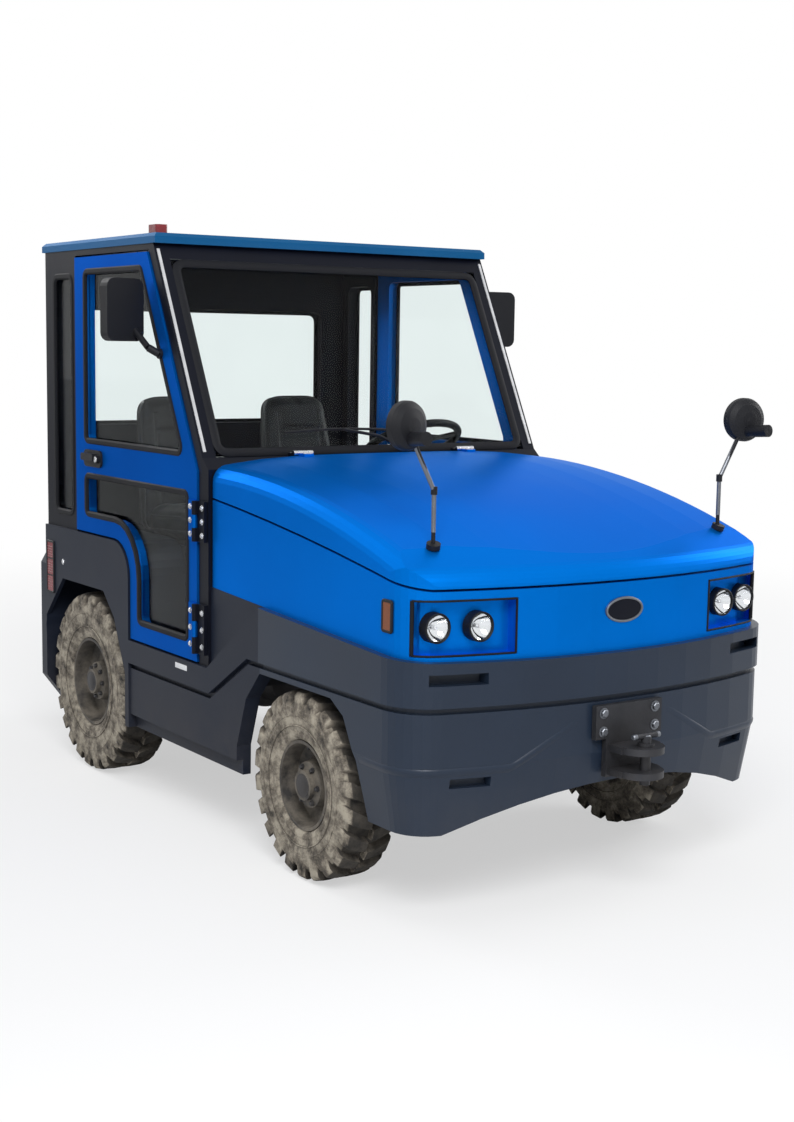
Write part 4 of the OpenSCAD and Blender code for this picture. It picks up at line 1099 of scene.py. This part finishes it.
def seatBackShape(p):
    # Narrows and rounds the back towards its top, with side bolsters proud of the middle
    half = seatSetup["back"]["half"]
    rise = (p.z / half[2] + 1) / 2
    narrow = 1 - seatSetup["back"]["taper"] * max(0.0, rise - 0.35) ** 1.6 / 0.5
    y = p.y * narrow
    edge = abs(y) / half[1]
    drop = 0.050 * max(0.0, (edge - 0.35) / 0.65) ** 2.4 if rise > 0.75 else 0.0
    bolster = lumbar = 0.0
    if p.x > 0:
        bolster = 0.011 * max(0.0, edge - 0.55) / 0.45 * math.sin(math.pi * min(1.0, rise * 1.1))
        lumbar = 0.006 * math.exp(-((rise - 0.30) / 0.18) ** 2)
    return Vector((p.x + bolster + lumbar - 0.006, y, p.z - drop * (rise - 0.75) * 4))


def makePad(kind, formOf):
    spec = seatSetup[kind]
    work = roundedBox(spec["half"], spec["radius"], padSetup["cuts"])
    for vert in work.verts:
        vert.co = formOf(vert.co)
    name = "seat_" + kind + "_pad"
    mesh = bpy.data.meshes.new(name)
    work.to_mesh(mesh)
    work.free()
    piece = addObject(name, mesh)
    swell(piece)
    piece.modifiers.new("finer", "SUBSURF").levels = 1
    applyModifiers(piece)
    sewPad(piece.data, spec)
    return piece


def roundLoop(halfU, halfV, corner, steps=8):
    loop = []
    for cu, cv, start in ((halfU - corner, halfV - corner, 0), (-halfU + corner, halfV - corner, 90),
                          (-halfU + corner, -halfV + corner, 180), (halfU - corner, -halfV + corner, 270)):
        for k in range(steps):
            angle = math.radians(start + 90 * k / steps)
            loop.append((cu + corner * math.cos(angle), cv + corner * math.sin(angle)))
    dense = []
    for a, b in zip(loop, loop[1:] + loop[:1]):
        count = max(1, int(math.hypot(b[0] - a[0], b[1] - a[1]) / 0.02))
        dense += [(a[0] + (b[0] - a[0]) * k / count, a[1] + (b[1] - a[1]) * k / count) for k in range(count)]
    return dense


def makeWelts(kind, pad):
    # Round welts about the pad, drawn onto its skin
    spec = seatSetup[kind]
    axis = spec["face"][0]
    reachU, reachV = [spec["half"][i] + 0.01 for i in range(3) if i != axis]
    skin = skinOf(pad.data)
    shape = Shape()
    for level in spec["welts"]:
        points = []
        for place in roundLoop(reachU, reachV, spec["weltCorner"]):
            start = Vector((*place[:axis], spec["half"][axis] * level, *place[axis:]))
            if kind == "back":
                start = seatBackShape(start)
            hit, normal = skin.find_nearest(start)[:2]
            points.append(hit + normal * 0.0006)
        points.append(points[0])
        for turn in range(2):
            eased = [(a + b * 2 + c) / 4 for a, b, c in zip(points, points[1:], points[2:])]
            points = [points[0]] + eased + [points[-1]]
        shape.tube(points, padSetup["piping"])
    return shape


def addSeats():
    pads = {"cushion": makePad("cushion", cushionShape), "back": makePad("back", seatBackShape)}
    for kind, source in pads.items():
        spec = seatSetup[kind]
        seam = makeWelts(kind, source)
        for side, y in seatSetup["middles"]:
            place = Matrix.Translation((spec["place"][0], y, spec["place"][1])) @ turning(-spec["tilt"], "Y")
            place = place @ Matrix.Translation((0, 0, spec["rise"]))
            mesh = source.data.copy()
            mesh.transform(place)
            pad = addObject("seat_%s_%s" % (kind, side), mesh)
            finishPiece(pad, "seatVinyl", "seat_vinyl")
            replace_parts(pad, "seat_" + kind + "s")
            welts = Shape()
            welts.add([place @ v for v in seam.verts], seam.faces)
            welts.piece("seat_%s_welts_%s" % (kind, side), "threadBlack", "seat_vinyl")
        bpy.data.objects.remove(source)


addSeats()
print("stage 8: seats stuffed and sewn")


# Fasteners, joined in one piece per body
boltTable = {
    # name: finish, slot, body, radius and height of a bolt, and rows of direction, x, y and z places
    "hitch_bolts": ("satinSteel", "chassis_steel", "chassis", (0.012, 0.010), (
        ((1, 0, 0), (1.4724,), (-0.098, 0.098), (0.528, 0.582)),
        ((-1, 0, 0), (-1.4271,), (-0.088, 0.088), (0.185, 0.285, 0.395)))),
    "lid_hinge_bolts": ("brightSteel", "blue_panels", "bonnet", (0.0042, 0.003), (
        ((0, 0, 1), (0.222,), (-0.346, -0.324, 0.324, 0.346), (1.2496,)),)),
    "fender_plugs": ("brightSteel", "slate_panels", "chassis", (0.0085, 0.004), (
        ((0, 1, 0), (-0.97,), (0.7001,), (0.77,)), ((0, -1, 0), (-0.97,), (-0.7001,), (0.77,)))),
}
doorBolts = {
    "rows": ((0.965, 1.098), (0.593, 0.758)),    # lower and upper end of each hinge
    "columns": (0.0905, 0.1735),                 # x of the bolts in the door and in the post
    "y": 0.7001,
    "size": (0.0075, 0.0055),
}
sillPlate = {"x": (-0.020, 0.065), "y": (0.7001, 0.7016), "z": (0.521, 0.539)}


def addDoorBolts():
    for side, way in (("left", 1), ("right", -1)):
        leaves, fixed = Shape(), Shape()
        for low, high in doorBolts["rows"]:
            for k in range(3):
                z = low + (high - low) * (0.16 + 0.34 * k)
                for shape, x in zip((leaves, fixed), doorBolts["columns"]):
                    shape.bolt((x, way * doorBolts["y"], z), (0, way, 0), *doorBolts["size"])
        leaves.piece("door_hinge_bolts_" + side, "brightSteel", "black_plastic", side + "_door")
        fixed.piece("post_hinge_bolts_" + side, "brightSteel", "black_frame")


def addBolts():
    for name, (finish, slotName, body, size, rows) in boltTable.items():
        shape = Shape()
        for way, xs, ys, zs in rows:
            for place in product(xs, ys, zs):
                shape.bolt(place, way, *size)
        shape.piece(name, finish, slotName, body)


def addSillPlates():
    plates = Shape()
    (x0, x1), (near, far), (z0, z1) = sillPlate["x"], sillPlate["y"], sillPlate["z"]
    plates.block((x0, near, z0), (x1, far, z1))
    plates.block((x0, -far, z0), (x1, -near, z1))
    plates.piece("sill_plates", "whitePlate", "slate_panels", bevel=0.0006)


addDoorBolts()
addBolts()
addSillPlates()


# Mirrors: bright faces in dark rims
mirrorSetup = {
    "pole": {
        "place": (1.258, 0.640, 1.395),
        "proud": 0.0171,
        "turn": 12.0,
        "radius": 0.068,
        "bulge": 0.0055,
        # share of the radius, height
        "rim": ((0.87, 0.0), (0.875, 0.004), (0.93, 0.0062), (0.985, 0.003), (0.99, 0.0)),
        "clamp": (1.25, 0.545, 1.215),
        "clampOutline": ((0.0, -0.012), (0.0095, -0.011), (0.0095, 0.011), (0.0, 0.012)),
    },
    "door": {
        "place": (-0.232, 0.790, 1.715),
        "turn": 8.0,
        "loop": (0.058, 0.091, 0.024, 6),    # half width, half height, corner, steps in a corner
        "backs": (-0.0222, -0.0235),         # of the glass's edge and of its middle
        "rim": (0.008, -0.003, -0.0005, 0.0035),
    },
}


def addPoleMirrors():
    setup = mirrorSetup["pole"]
    x, y, z = setup["place"]
    radius, angle = setup["radius"], math.radians(setup["turn"])
    face = [(radius * 0.88 * k / 8, setup["bulge"] * (1 - (k / 8) ** 2) + 0.0004) for k in range(9)]
    rim = [(radius * share, height) for share, height in setup["rim"]]
    faces, rims = Shape(), Shape()
    for side in (-1, 1):
        way = Vector((-math.cos(angle), side * math.sin(angle), 0))
        back = Vector((x, side * y, z)) + way * setup["proud"]
        faces.turned(face, back, way, 40)
        rims.turned(rim, back, way, 40)
        clamp = Vector(setup["clamp"]) * Vector((1, side, 1))
        rims.turned(setup["clampOutline"], clamp, (0, 0, 1), 16)
    faces.piece("pole_mirror_faces", "mirrorFace", "black_plastic", "bonnet")
    rims.piece("pole_mirror_rims", "blackPlastic", "black_plastic", "bonnet")


def addDoorMirrors():
    setup = mirrorSetup["door"]
    x, y, z = setup["place"]
    edge, centre = setup["backs"]
    for side, sign in (("left", 1), ("right", -1)):
        spin = turning(-setup["turn"] * sign, "Z").to_3x3()
        place = Vector((x, sign * y, z))
        ring = [place + spin @ Vector((edge, v, w)) for v, w in roundLoop(*setup["loop"])]
        way = spin @ Vector((-1, 0, 0))
        middle = place + spin @ Vector((centre, 0, 0))
        glass, rim = Shape(), Shape()
        glass.dish(middle, [[middle + (p - middle) * 0.5 + way * 0.0003 for p in ring],
                            [p + way * 0.0004 for p in ring]])
        glass.piece("door_mirror_face_" + side, "mirrorFace", "black_plastic", side + "_door")
        sealShape(rim, ring, way, *setup["rim"])
        rim.piece("door_mirror_rim_" + side, "blackPlastic", "black_plastic", side + "_door")


addPoleMirrors()
addDoorMirrors()


# Bright sleeves on the mirror poles and on the bonnet's hinges
brightSetup = {
    "pole": {
        "foot": (1.250, 0.545, 1.100),
        "kink": 1.2148,
        "top": (1.2565, 0.6305, 1.3700),
        "radius": 0.0066,
        "wall": 0.0008,
    },
    "hinge": {
        "place": (0.196, 0.335, 1.249),
        "radius": 0.0087,
        "wall": 0.0012,
        "chamfer": (0.0003, 0.0008),
        "moving": ((-0.0175, 0.0175),),
        "fixed": ((-0.0365, -0.0192), (0.0192, 0.0365)),
        # low and high corners of the plates, from the hinge's middle
        "movingPlates": (((0.0085, -0.0165, -0.0009), (0.0400, 0.0165, 0.0007)),),
        "fixedPlates": (((-0.0330, -0.0355, 0.0001), (-0.0090, -0.0200, 0.0014)),
                        ((-0.0330, 0.0200, 0.0001), (-0.0090, 0.0355, 0.0014))),
    },
}


def addPoleSleeves():
    setup = brightSetup["pole"]
    x, y, low = setup["foot"]
    kink, radius = setup["kink"], setup["radius"]
    bore = radius - setup["wall"]
    poles = Shape()
    for side in (-1, 1):
        poles.turned([(bore, low), (radius, low), (radius, kink), (bore, kink)], (x, side * y, 0),
                     (0, 0, 1), 20)
        start = Vector((x, side * y, kink - 0.001))
        way = Vector(setup["top"]) * Vector((1, side, 1)) - start
        length = way.length
        poles.turned([(bore, 0.0), (radius, 0.001), (radius, length), (bore, length)], start, way, 20)
    poles.piece("mirror_pole_sleeves", "satinSteel", "black_plastic", "bonnet")


def addHinges():
    setup = brightSetup["hinge"]
    radius, (inset, length) = setup["radius"], setup["chamfer"]
    bore, face = radius - setup["wall"], radius - inset
    moving, fixed = Shape(), Shape()
    for side in (-1, 1):
        middle = Vector(setup["place"]) * Vector((1, side, 1))
        for shape, kind in ((moving, "moving"), (fixed, "fixed")):
            for low, high in setup[kind]:
                shape.turned([(bore, low), (face, low), (radius, low + length), (radius, high - length),
                              (face, high), (bore, high)], middle, (0, 1, 0), 28)
            for low, high in setup[kind + "Plates"]:
                shape.block(middle + Vector(low), middle + Vector(high))
    moving.piece("lid_hinge_plates", "brightSteel", "blue_panels", "bonnet", bevel=0.0004, segments=1)
    fixed.piece("cowl_hinge_plates", "brightSteel", "black_frame", bevel=0.0004, segments=1)


addPoleSleeves()
addHinges()
print("stage 9: fasteners, plates and mirrors made")


# Lamps at the corners, the rear and on the roof
lampSetup = {
    # x, distance from the middle, z, half width, half height, corner, and the frame's section
    "marker": (1.225, 0.6772, 0.872, 0.022, 0.042, 0.006, (0.005, -0.004, -0.001, 0.0045)),
    "tail": (-1.087, 0.7005, 0.738, 0.031, 0.098, 0.008, (0.005, -0.004, -0.001, 0.0052)),
    "tailFront": 0.7041,
    "bar": (0.003, 0.0011, 0.002),    # shorter at each end, proud, half height
    "rib": (0.005, 0.001, 0.0014),    # shorter at each end, tip, radius
    "roof": (-0.265, -0.640, 1.9752),
    "roofBase": ((0.0, 0.0012), (0.010, 0.0012), (0.012, 0.0), (0.0, 0.0)),
}


def addLampTrim():
    frames, ribs, base = Shape(), Shape(), Shape()
    front = lampSetup["tailFront"]
    for way in (1, -1):
        for kind in ("marker", "tail"):
            x, y, z, halfX, halfZ, corner, section = lampSetup[kind]
            loop = [Vector((x + u, way * y, z + v)) for u, v in roundLoop(halfX, halfZ, corner, 4)]
            sealShape(frames, loop, (0, way, 0), *section)
        short, proud, half = lampSetup["bar"]
        y0, y1 = sorted((way * front, way * (front + proud)))
        for k in (-1, 1):
            bar = z + k * halfZ / 3
            frames.block((x - halfX + short, y0, bar - half), (x + halfX - short, y1, bar + half))
        short, tip, thick = lampSetup["rib"]
        end = halfX - short
        for k in range(-9, 10):
            if k not in (-9, -3, 3, 9):    # the bars and the ends lie there
                ribs.turned([(0.0, -end), (thick, tip - end), (thick, end - tip), (0.0, end)],
                            (x, way * front, z + k * halfZ / 10), (1, 0, 0), 8)
    frames.piece("lamp_frames", "blackPlastic", "black_plastic")
    ribs.piece("tail_lamp_ribs", "redLens", "red_lamps")
    base.turned(lampSetup["roofBase"], lampSetup["roof"], (0, 0, 1), 20)
    base.piece("roof_lamp_base", "sealRubber", "red_lamps")


addLampTrim()


# Inside of the cab: headliner, instruments, stalks, pedals and mat
driverY = 0.30
linerSetup = {"x": (-1.093, -0.358), "y": (-0.630, 0.630), "under": 1.9392, "sag": 0.008, "steps": 12}


def addHeadliner():
    steps = linerSetup["steps"]
    (x0, x1), (y0, y1) = linerSetup["x"], linerSetup["y"]
    rows = []
    for i in range(steps + 1):
        row = []
        for j in range(steps + 1):
            edge = max(abs(2 * i / steps - 1), abs(2 * j / steps - 1))
            row.append(Vector((x0 + (x1 - x0) * i / steps, y0 + (y1 - y0) * j / steps,
                               linerSetup["under"] - linerSetup["sag"] * (1 - edge ** 6))))
        rows.append(row)
    liner = Shape()
    liner.loft(rows, looped=False)
    liner.piece("cab_headliner", "cabLining", "black_plastic")


podSetup = {
    "half": (0.052, 0.135, 0.042),
    "corner": 0.024,
    "place": (0.060, driverY, 1.158),
    "lean": -24,
    "dials": ((-0.062, 0.030), (0.062, 0.030), (0.0, 0.019)),    # sideways, radius
    # inwards of the dial's radius, height
    "dialRim": ((0.0, 0.0), (0.0, 0.003), (0.002, 0.0042), (0.0045, 0.002)),
    "marks": (9, -30, 30),    # count, the first one's angle and the step
    "pointer": 2.3,           # radians
}


def addInstruments():
    work = roundedBox(podSetup["half"], podSetup["corner"], 8)
    for vert in work.verts:
        if vert.co.x < 0:
            vert.co.z *= 0.86
    mesh = bpy.data.meshes.new("instrumentPod")
    work.to_mesh(mesh)
    work.free()
    place = Matrix.Translation(podSetup["place"]) @ turning(podSetup["lean"], "Y")
    mesh.transform(place)
    finishPiece(addObject("instrument_pod", mesh), "blackPlastic", "black_plastic")
    rims, dials, marks = Shape(), Shape(), Shape()
    facing = (place.to_3x3() @ Vector((-1, 0, 0))).normalized()
    across = Vector((0, 1, 0))
    up = across.cross(facing).normalized()
    for sideways, radius in podSetup["dials"]:
        at = place @ Vector((-0.0522, sideways, 0.0))
        rims.turned([(radius - inwards, height) for inwards, height in podSetup["dialRim"]], at, facing, 28)
        dials.turned([(0.0, 0.0012), (radius - 0.003, 0.0012)], at, facing, 28)
        face = at + facing * 0.0018
        count, first, step = podSetup["marks"]
        for k in range(count):
            ray = around(across, up, first + step * k)
            marks.tube([face + ray * (radius - 0.008), face + ray * (radius - 0.005)], 0.0006, 4)
        ray = around(across, up, math.degrees(podSetup["pointer"]))
        face = at + facing * 0.0024
        marks.tube([face, face + ray * (radius - 0.010)], 0.0008, 6)
    rims.piece("dial_rims", "chrome", "black_plastic")
    dials.piece("dial_faces", "blackPaint", "black_plastic")
    marks.piece("dial_marks", "whitePlate", "black_plastic")


columnSetup = {
    "foot": (0.070, 0.960),
    "lean": 28.0,
    "stalks": ((-1, 0.235), (1, 0.255)),    # side, height along the column
    "grip": ((0.0, -0.004), (0.007, -0.002), (0.009, 0.020), (0.0085, 0.036), (0.0, 0.040)),
    "shroud": ((0.036, 0.225), (0.045, 0.232), (0.046, 0.268), (0.038, 0.278), (0.034, 0.280)),
    "collar": ((0.034, 0.02), (0.052, 0.03), (0.050, 0.06), (0.036, 0.075)),
    "hub": 0.330,
    "cap": ((0.0, 0.0255), (0.014, 0.0252), (0.027, 0.0235), (0.034, 0.0195), (0.0365, 0.0185)),
    "studs": (20, 0.176, -0.0137),          # under the rim: count, radius of their circle, height
    "stud": ((0.0, -0.0016), (0.0035, -0.001), (0.0045, 0.0010)),
}


def onColumn(along, sideways=0.0, lift=0.0):
    lean = math.radians(columnSetup["lean"])
    x0, z0 = columnSetup["foot"]
    return Vector((x0 - math.sin(lean) * along - math.cos(lean) * lift, driverY + sideways,
                   z0 + math.cos(lean) * along - math.sin(lean) * lift))


def addColumn():
    way = onColumn(1) - onColumn(0)
    stalks = Shape()
    for side, along in columnSetup["stalks"]:
        points = [onColumn(along, side * 0.030), onColumn(along + 0.012, side * 0.085, -0.004),
                  onColumn(along + 0.030, side * 0.135, -0.004)]
        stalks.tube(points, 0.0055, 10)
        stalks.turned(columnSetup["grip"], points[-1], points[-1] - points[-2], 14)
    stalks.turned(columnSetup["shroud"], onColumn(0), way, 28)
    stalks.turned(columnSetup["collar"], onColumn(0), way, 28)
    stalks.piece("column_stalks", "blackPlastic", "black_plastic")
    cap = Shape()
    hub, side = onColumn(columnSetup["hub"]), Vector((0, 1, 0))
    cap.turned(columnSetup["cap"], hub, way, 32)
    count, radius, height = columnSetup["studs"]
    for k in range(count):
        ray = around(side, side.cross(way).normalized(), 360 * (k + 0.5) / count)
        cap.turned(columnSetup["stud"], hub + ray * radius + way * height, -way, 8)
    cap.piece("steering_wheel_cap", "blackPlastic", "black_plastic", "steering_wheel")


dashSetup = {
    "slope": (-0.05, 0, -0.044),
    "switches": (0.024, -0.16, 1.1235, 0.042, 6),    # place of the first, pitch, count
    "base": (0.014, 0.012),                          # half length and half width, and those of the top
    "top": (0.012, 0.010),
    "rocker": (0.006, 0.0033),                       # height of the raised and of the pressed end
    "stop": (0.020, 0.105, 1.120),
    "stopOutline": ((0.0, 0.024), (0.010, 0.0235), (0.0155, 0.020), (0.0165, 0.016), (0.015, 0.012),
                    (0.008, 0.011), (0.008, 0.0)),
}


def addDashControls():
    slope = Vector(dashSetup["slope"]).normalized()
    flat = Vector((slope.z, 0, -slope.x))
    x, y, z, pitch, count = dashSetup["switches"]
    switches, stop = Shape(), Shape()
    for k in range(count):
        corner = Vector((x, y + pitch * k, z))
        verts = []
        for (length, width), raised in ((dashSetup["base"], False), (dashSetup["top"], True)):
            for a, b in ((-1, -1), (1, -1), (1, 1), (-1, 1)):
                lift = dashSetup["rocker"][0 if (a < 0) == (k % 2 == 0) else 1] if raised else -0.002
                verts.append(corner + slope * a * length + Vector((0, b * width, 0)) + flat * lift)
        switches.add(verts, boxFaces)
    switches.piece("dash_switches", "blackPlastic", "black_plastic", bevel=0.0008)
    stop.turned(dashSetup["stopOutline"], dashSetup["stop"], flat, 24)
    stop.piece("stop_button", "redLens", "black_plastic")


pedalSetup = ((0.405, 0.026, 0.640), (0.270, 0.038, 0.665))    # y, half width, height of each


def addPedals():
    pedals = Shape()
    for y, width, high in pedalSetup:
        low, top = Vector((0.055, y, high - 0.055)), Vector((0.028, y, high + 0.025))
        lean = (top - low).normalized()
        out, across = Vector((-lean.z, 0, lean.x)), Vector((0, width, 0))
        corners = [low - across, low + across, top + across * 0.9, top - across * 0.9]
        pedals.add(corners + [p - out * 0.008 for p in corners], boxFaces)
        for k in range(5):
            middle = low + (top - low) * (0.14 + 0.18 * k) + out * 0.0015
            pedals.tube([middle - across * 0.8, middle + across * 0.8], 0.0022, 6)
        arm = [top - out * 0.004, top + Vector((0.040, 0, 0.050)), top + Vector((0.085, 0, 0.066))]
        pedals.tube(arm, 0.007)
    pedals.piece("foot_pedals", "blackPlastic", "black_plastic", bevel=0.0008)


matSetup = {
    "low": (-0.300, -0.600, 0.5602),
    "high": (0.100, 0.600, 0.5640),
    "ribs": (-0.286, 0.0235, 0.010, 17),    # first x, pitch, width, count
    "ribSpan": ((-0.590, 0.590), (0.5638, 0.5668)),
}


def addFloorMat():
    mat = Shape()
    mat.block(matSetup["low"], matSetup["high"])
    first, pitch, width, count = matSetup["ribs"]
    (y0, y1), (z0, z1) = matSetup["ribSpan"]
    for k in range(count):
        x = first + pitch * k
        mat.block((x, y0, z0), (x + width, y1, z1))
    mat.piece("floor_mat", "sealRubber", "black_plastic", bevel=0.0008, segments=1)


doorSetup = {
    # x, inwards of the door's skin, z
    "pull": ((-0.640, 0.0, 1.205), (-0.640, 0.012, 1.205), (-0.655, 0.020, 1.204), (-0.735, 0.020, 1.200)),
    "pullY": 0.6478,
    "rosette": ((0.0, 0.005), (0.016, 0.004), (0.018, 0.0), (0.0, 0.0)),
    "lock": (-0.634, 0.7140, 1.183),
    "lockOutline": ((0.0, 0.0015), (0.0045, 0.0012), (0.0085, 0.0022), (0.0105, 0.0018), (0.0110, 0.0)),
}


def addDoorFittings():
    for side, sign in (("left", 1), ("right", -1)):
        pull, lock = Shape(), Shape()
        skin = doorSetup["pullY"]
        points = [(x, sign * (skin - inwards), z) for x, inwards, z in doorSetup["pull"]]
        pull.tube(points, 0.0055)
        pull.turned(doorSetup["rosette"], points[0], (0, -sign, 0), 18)
        pull.piece("door_pull_" + side, "brightSteel", "black_plastic", side + "_door")
        x, y, z = doorSetup["lock"]
        lock.turned(doorSetup["lockOutline"], (x, sign * y, z), (0, sign, 0), 22)
        lock.piece("door_lock_" + side, "chrome", "black_plastic", side + "_door")


addHeadliner()
addInstruments()
addColumn()
addDashControls()
addPedals()
addFloorMat()
addDoorFittings()
print("stage 10: inside of the cab made")


# Battery top under the bonnet: cell lids, filler caps, bars and cables
batterySetup = {
    "x": (0.270, 1.240),
    "halfY": 0.300,
    "margin": 0.025,
    "top": 0.930,
    "lid": (0.003, 0.0002, 0.0045),    # gap round it, underside and top
    "columns": 6,
    "rows": 4,
    "cap": ((0.0, 0.0065), (0.010, 0.0060), (0.012, 0.0045), (0.015, 0.0040), (0.015, 0.0)),
    "post": ((0.0, 0.0055), (0.006, 0.0050), (0.007, 0.0)),
    "postShift": (0.34, 0.20),    # from a cell's middle, as shares of the cell
    "bar": ((-0.005, -0.009, 0.0008), (0.005, 0.009, 0.0038)),    # beyond the posts, low and high
    "rails": (0.3006, 0.700),     # y and height
    "lug": (0.12, 0.030, 0.006, (-0.075, -0.010)),    # from the ends, half width, thickness, low and high
}


def addCells():
    lids, caps, bars = Shape(), Shape(), Shape()
    (x0, x1), half, margin = batterySetup["x"], batterySetup["halfY"], batterySetup["margin"]
    top, up = batterySetup["top"], (0, 0, 1)
    cellX = (x1 - x0 - 2 * margin) / batterySetup["columns"]
    cellY = (2 * half - 2 * margin) / batterySetup["rows"]
    gap, under, lidTop = batterySetup["lid"]
    shiftX, shiftY = batterySetup["postShift"]
    low, high = [Vector(corner) for corner in batterySetup["bar"]]
    for i in range(batterySetup["columns"]):
        for j in range(batterySetup["rows"]):
            x, y = x0 + margin + cellX * (i + 0.5), margin - half + cellY * (j + 0.5)
            centre = Vector((x, y, top + lidTop))
            reach = Vector((cellX / 2 - gap, cellY / 2 - gap, 0))
            lids.block(centre - reach - Vector((0, 0, lidTop - under)), centre + reach)
            caps.turned(batterySetup["cap"], centre, up, 16)
            for k in (-1, 1):
                post = centre + Vector((cellX * shiftX * k, cellY * shiftY, 0))
                bars.turned(batterySetup["post"], post, up, 12)
            if i < batterySetup["columns"] - 1:
                bars.block(centre + Vector((cellX * shiftX, cellY * shiftY, 0)) + low,
                           centre + Vector((cellX * (1 - shiftX), cellY * shiftY, 0)) + high)
    lids.piece("battery_cell_lids", "blackPlastic", "battery_case", bevel=0.0012, segments=1)
    caps.piece("battery_filler_caps", "whitePlate", "battery_case")
    bars.piece("battery_bars", "darkSteel", "battery_case")


def addLiftingLugs():
    rails = Shape()
    (x0, x1), top = batterySetup["x"], batterySetup["top"]
    side, height = batterySetup["rails"]
    inwards, half, thick, (low, high) = batterySetup["lug"]
    for way in (-1, 1):
        y, out = way * side, way * (side + thick)
        for x in (x0 + inwards, x1 - inwards):
            rails.block((x - half, min(y, out), top + low), (x + half, max(y, out), top + high))
            rails.bolt((x, out, top - 0.030), (0, way, 0), 0.009, 0.006)
        rails.tube([(x0 + 0.004, y, height), (x1 - 0.004, y, height)], 0.004, 6)
    rails.piece("battery_lifting_lugs", "darkSteel", "battery_case", bevel=0.001, segments=1)


addCells()
addLiftingLugs()


# Tow pins: ring on each handle and a worn collar
pinSetup = {
    "pins": (("front_hitch_pin", 1.5455, 0.520), ("rear_hitch_pin", -1.5455, 0.430)),
    "handle": ((0.0, 0.0045), (0.006, 0.004), (0.0085, 0.001), (0.0085, -0.010)),
    "handleEnd": 0.0475,
    "collar": ((0.0, 0.0035), (0.010, 0.0030), (0.0135, 0.0)),
}


def addPinTrim():
    for name, x, z in pinSetup["pins"]:
        ring = Shape()
        for sign in (-1, 1):
            ring.turned(pinSetup["handle"], (x, sign * pinSetup["handleEnd"], z), (0, sign, 0), 16)
        ring.turned(pinSetup["collar"], (x, 0, z), (0, 0, 1), 20)
        ring.piece(name + "_ends", "satinSteel", "chassis_steel", name)


addPinTrim()
print("stage 11: battery top and tow pins made")
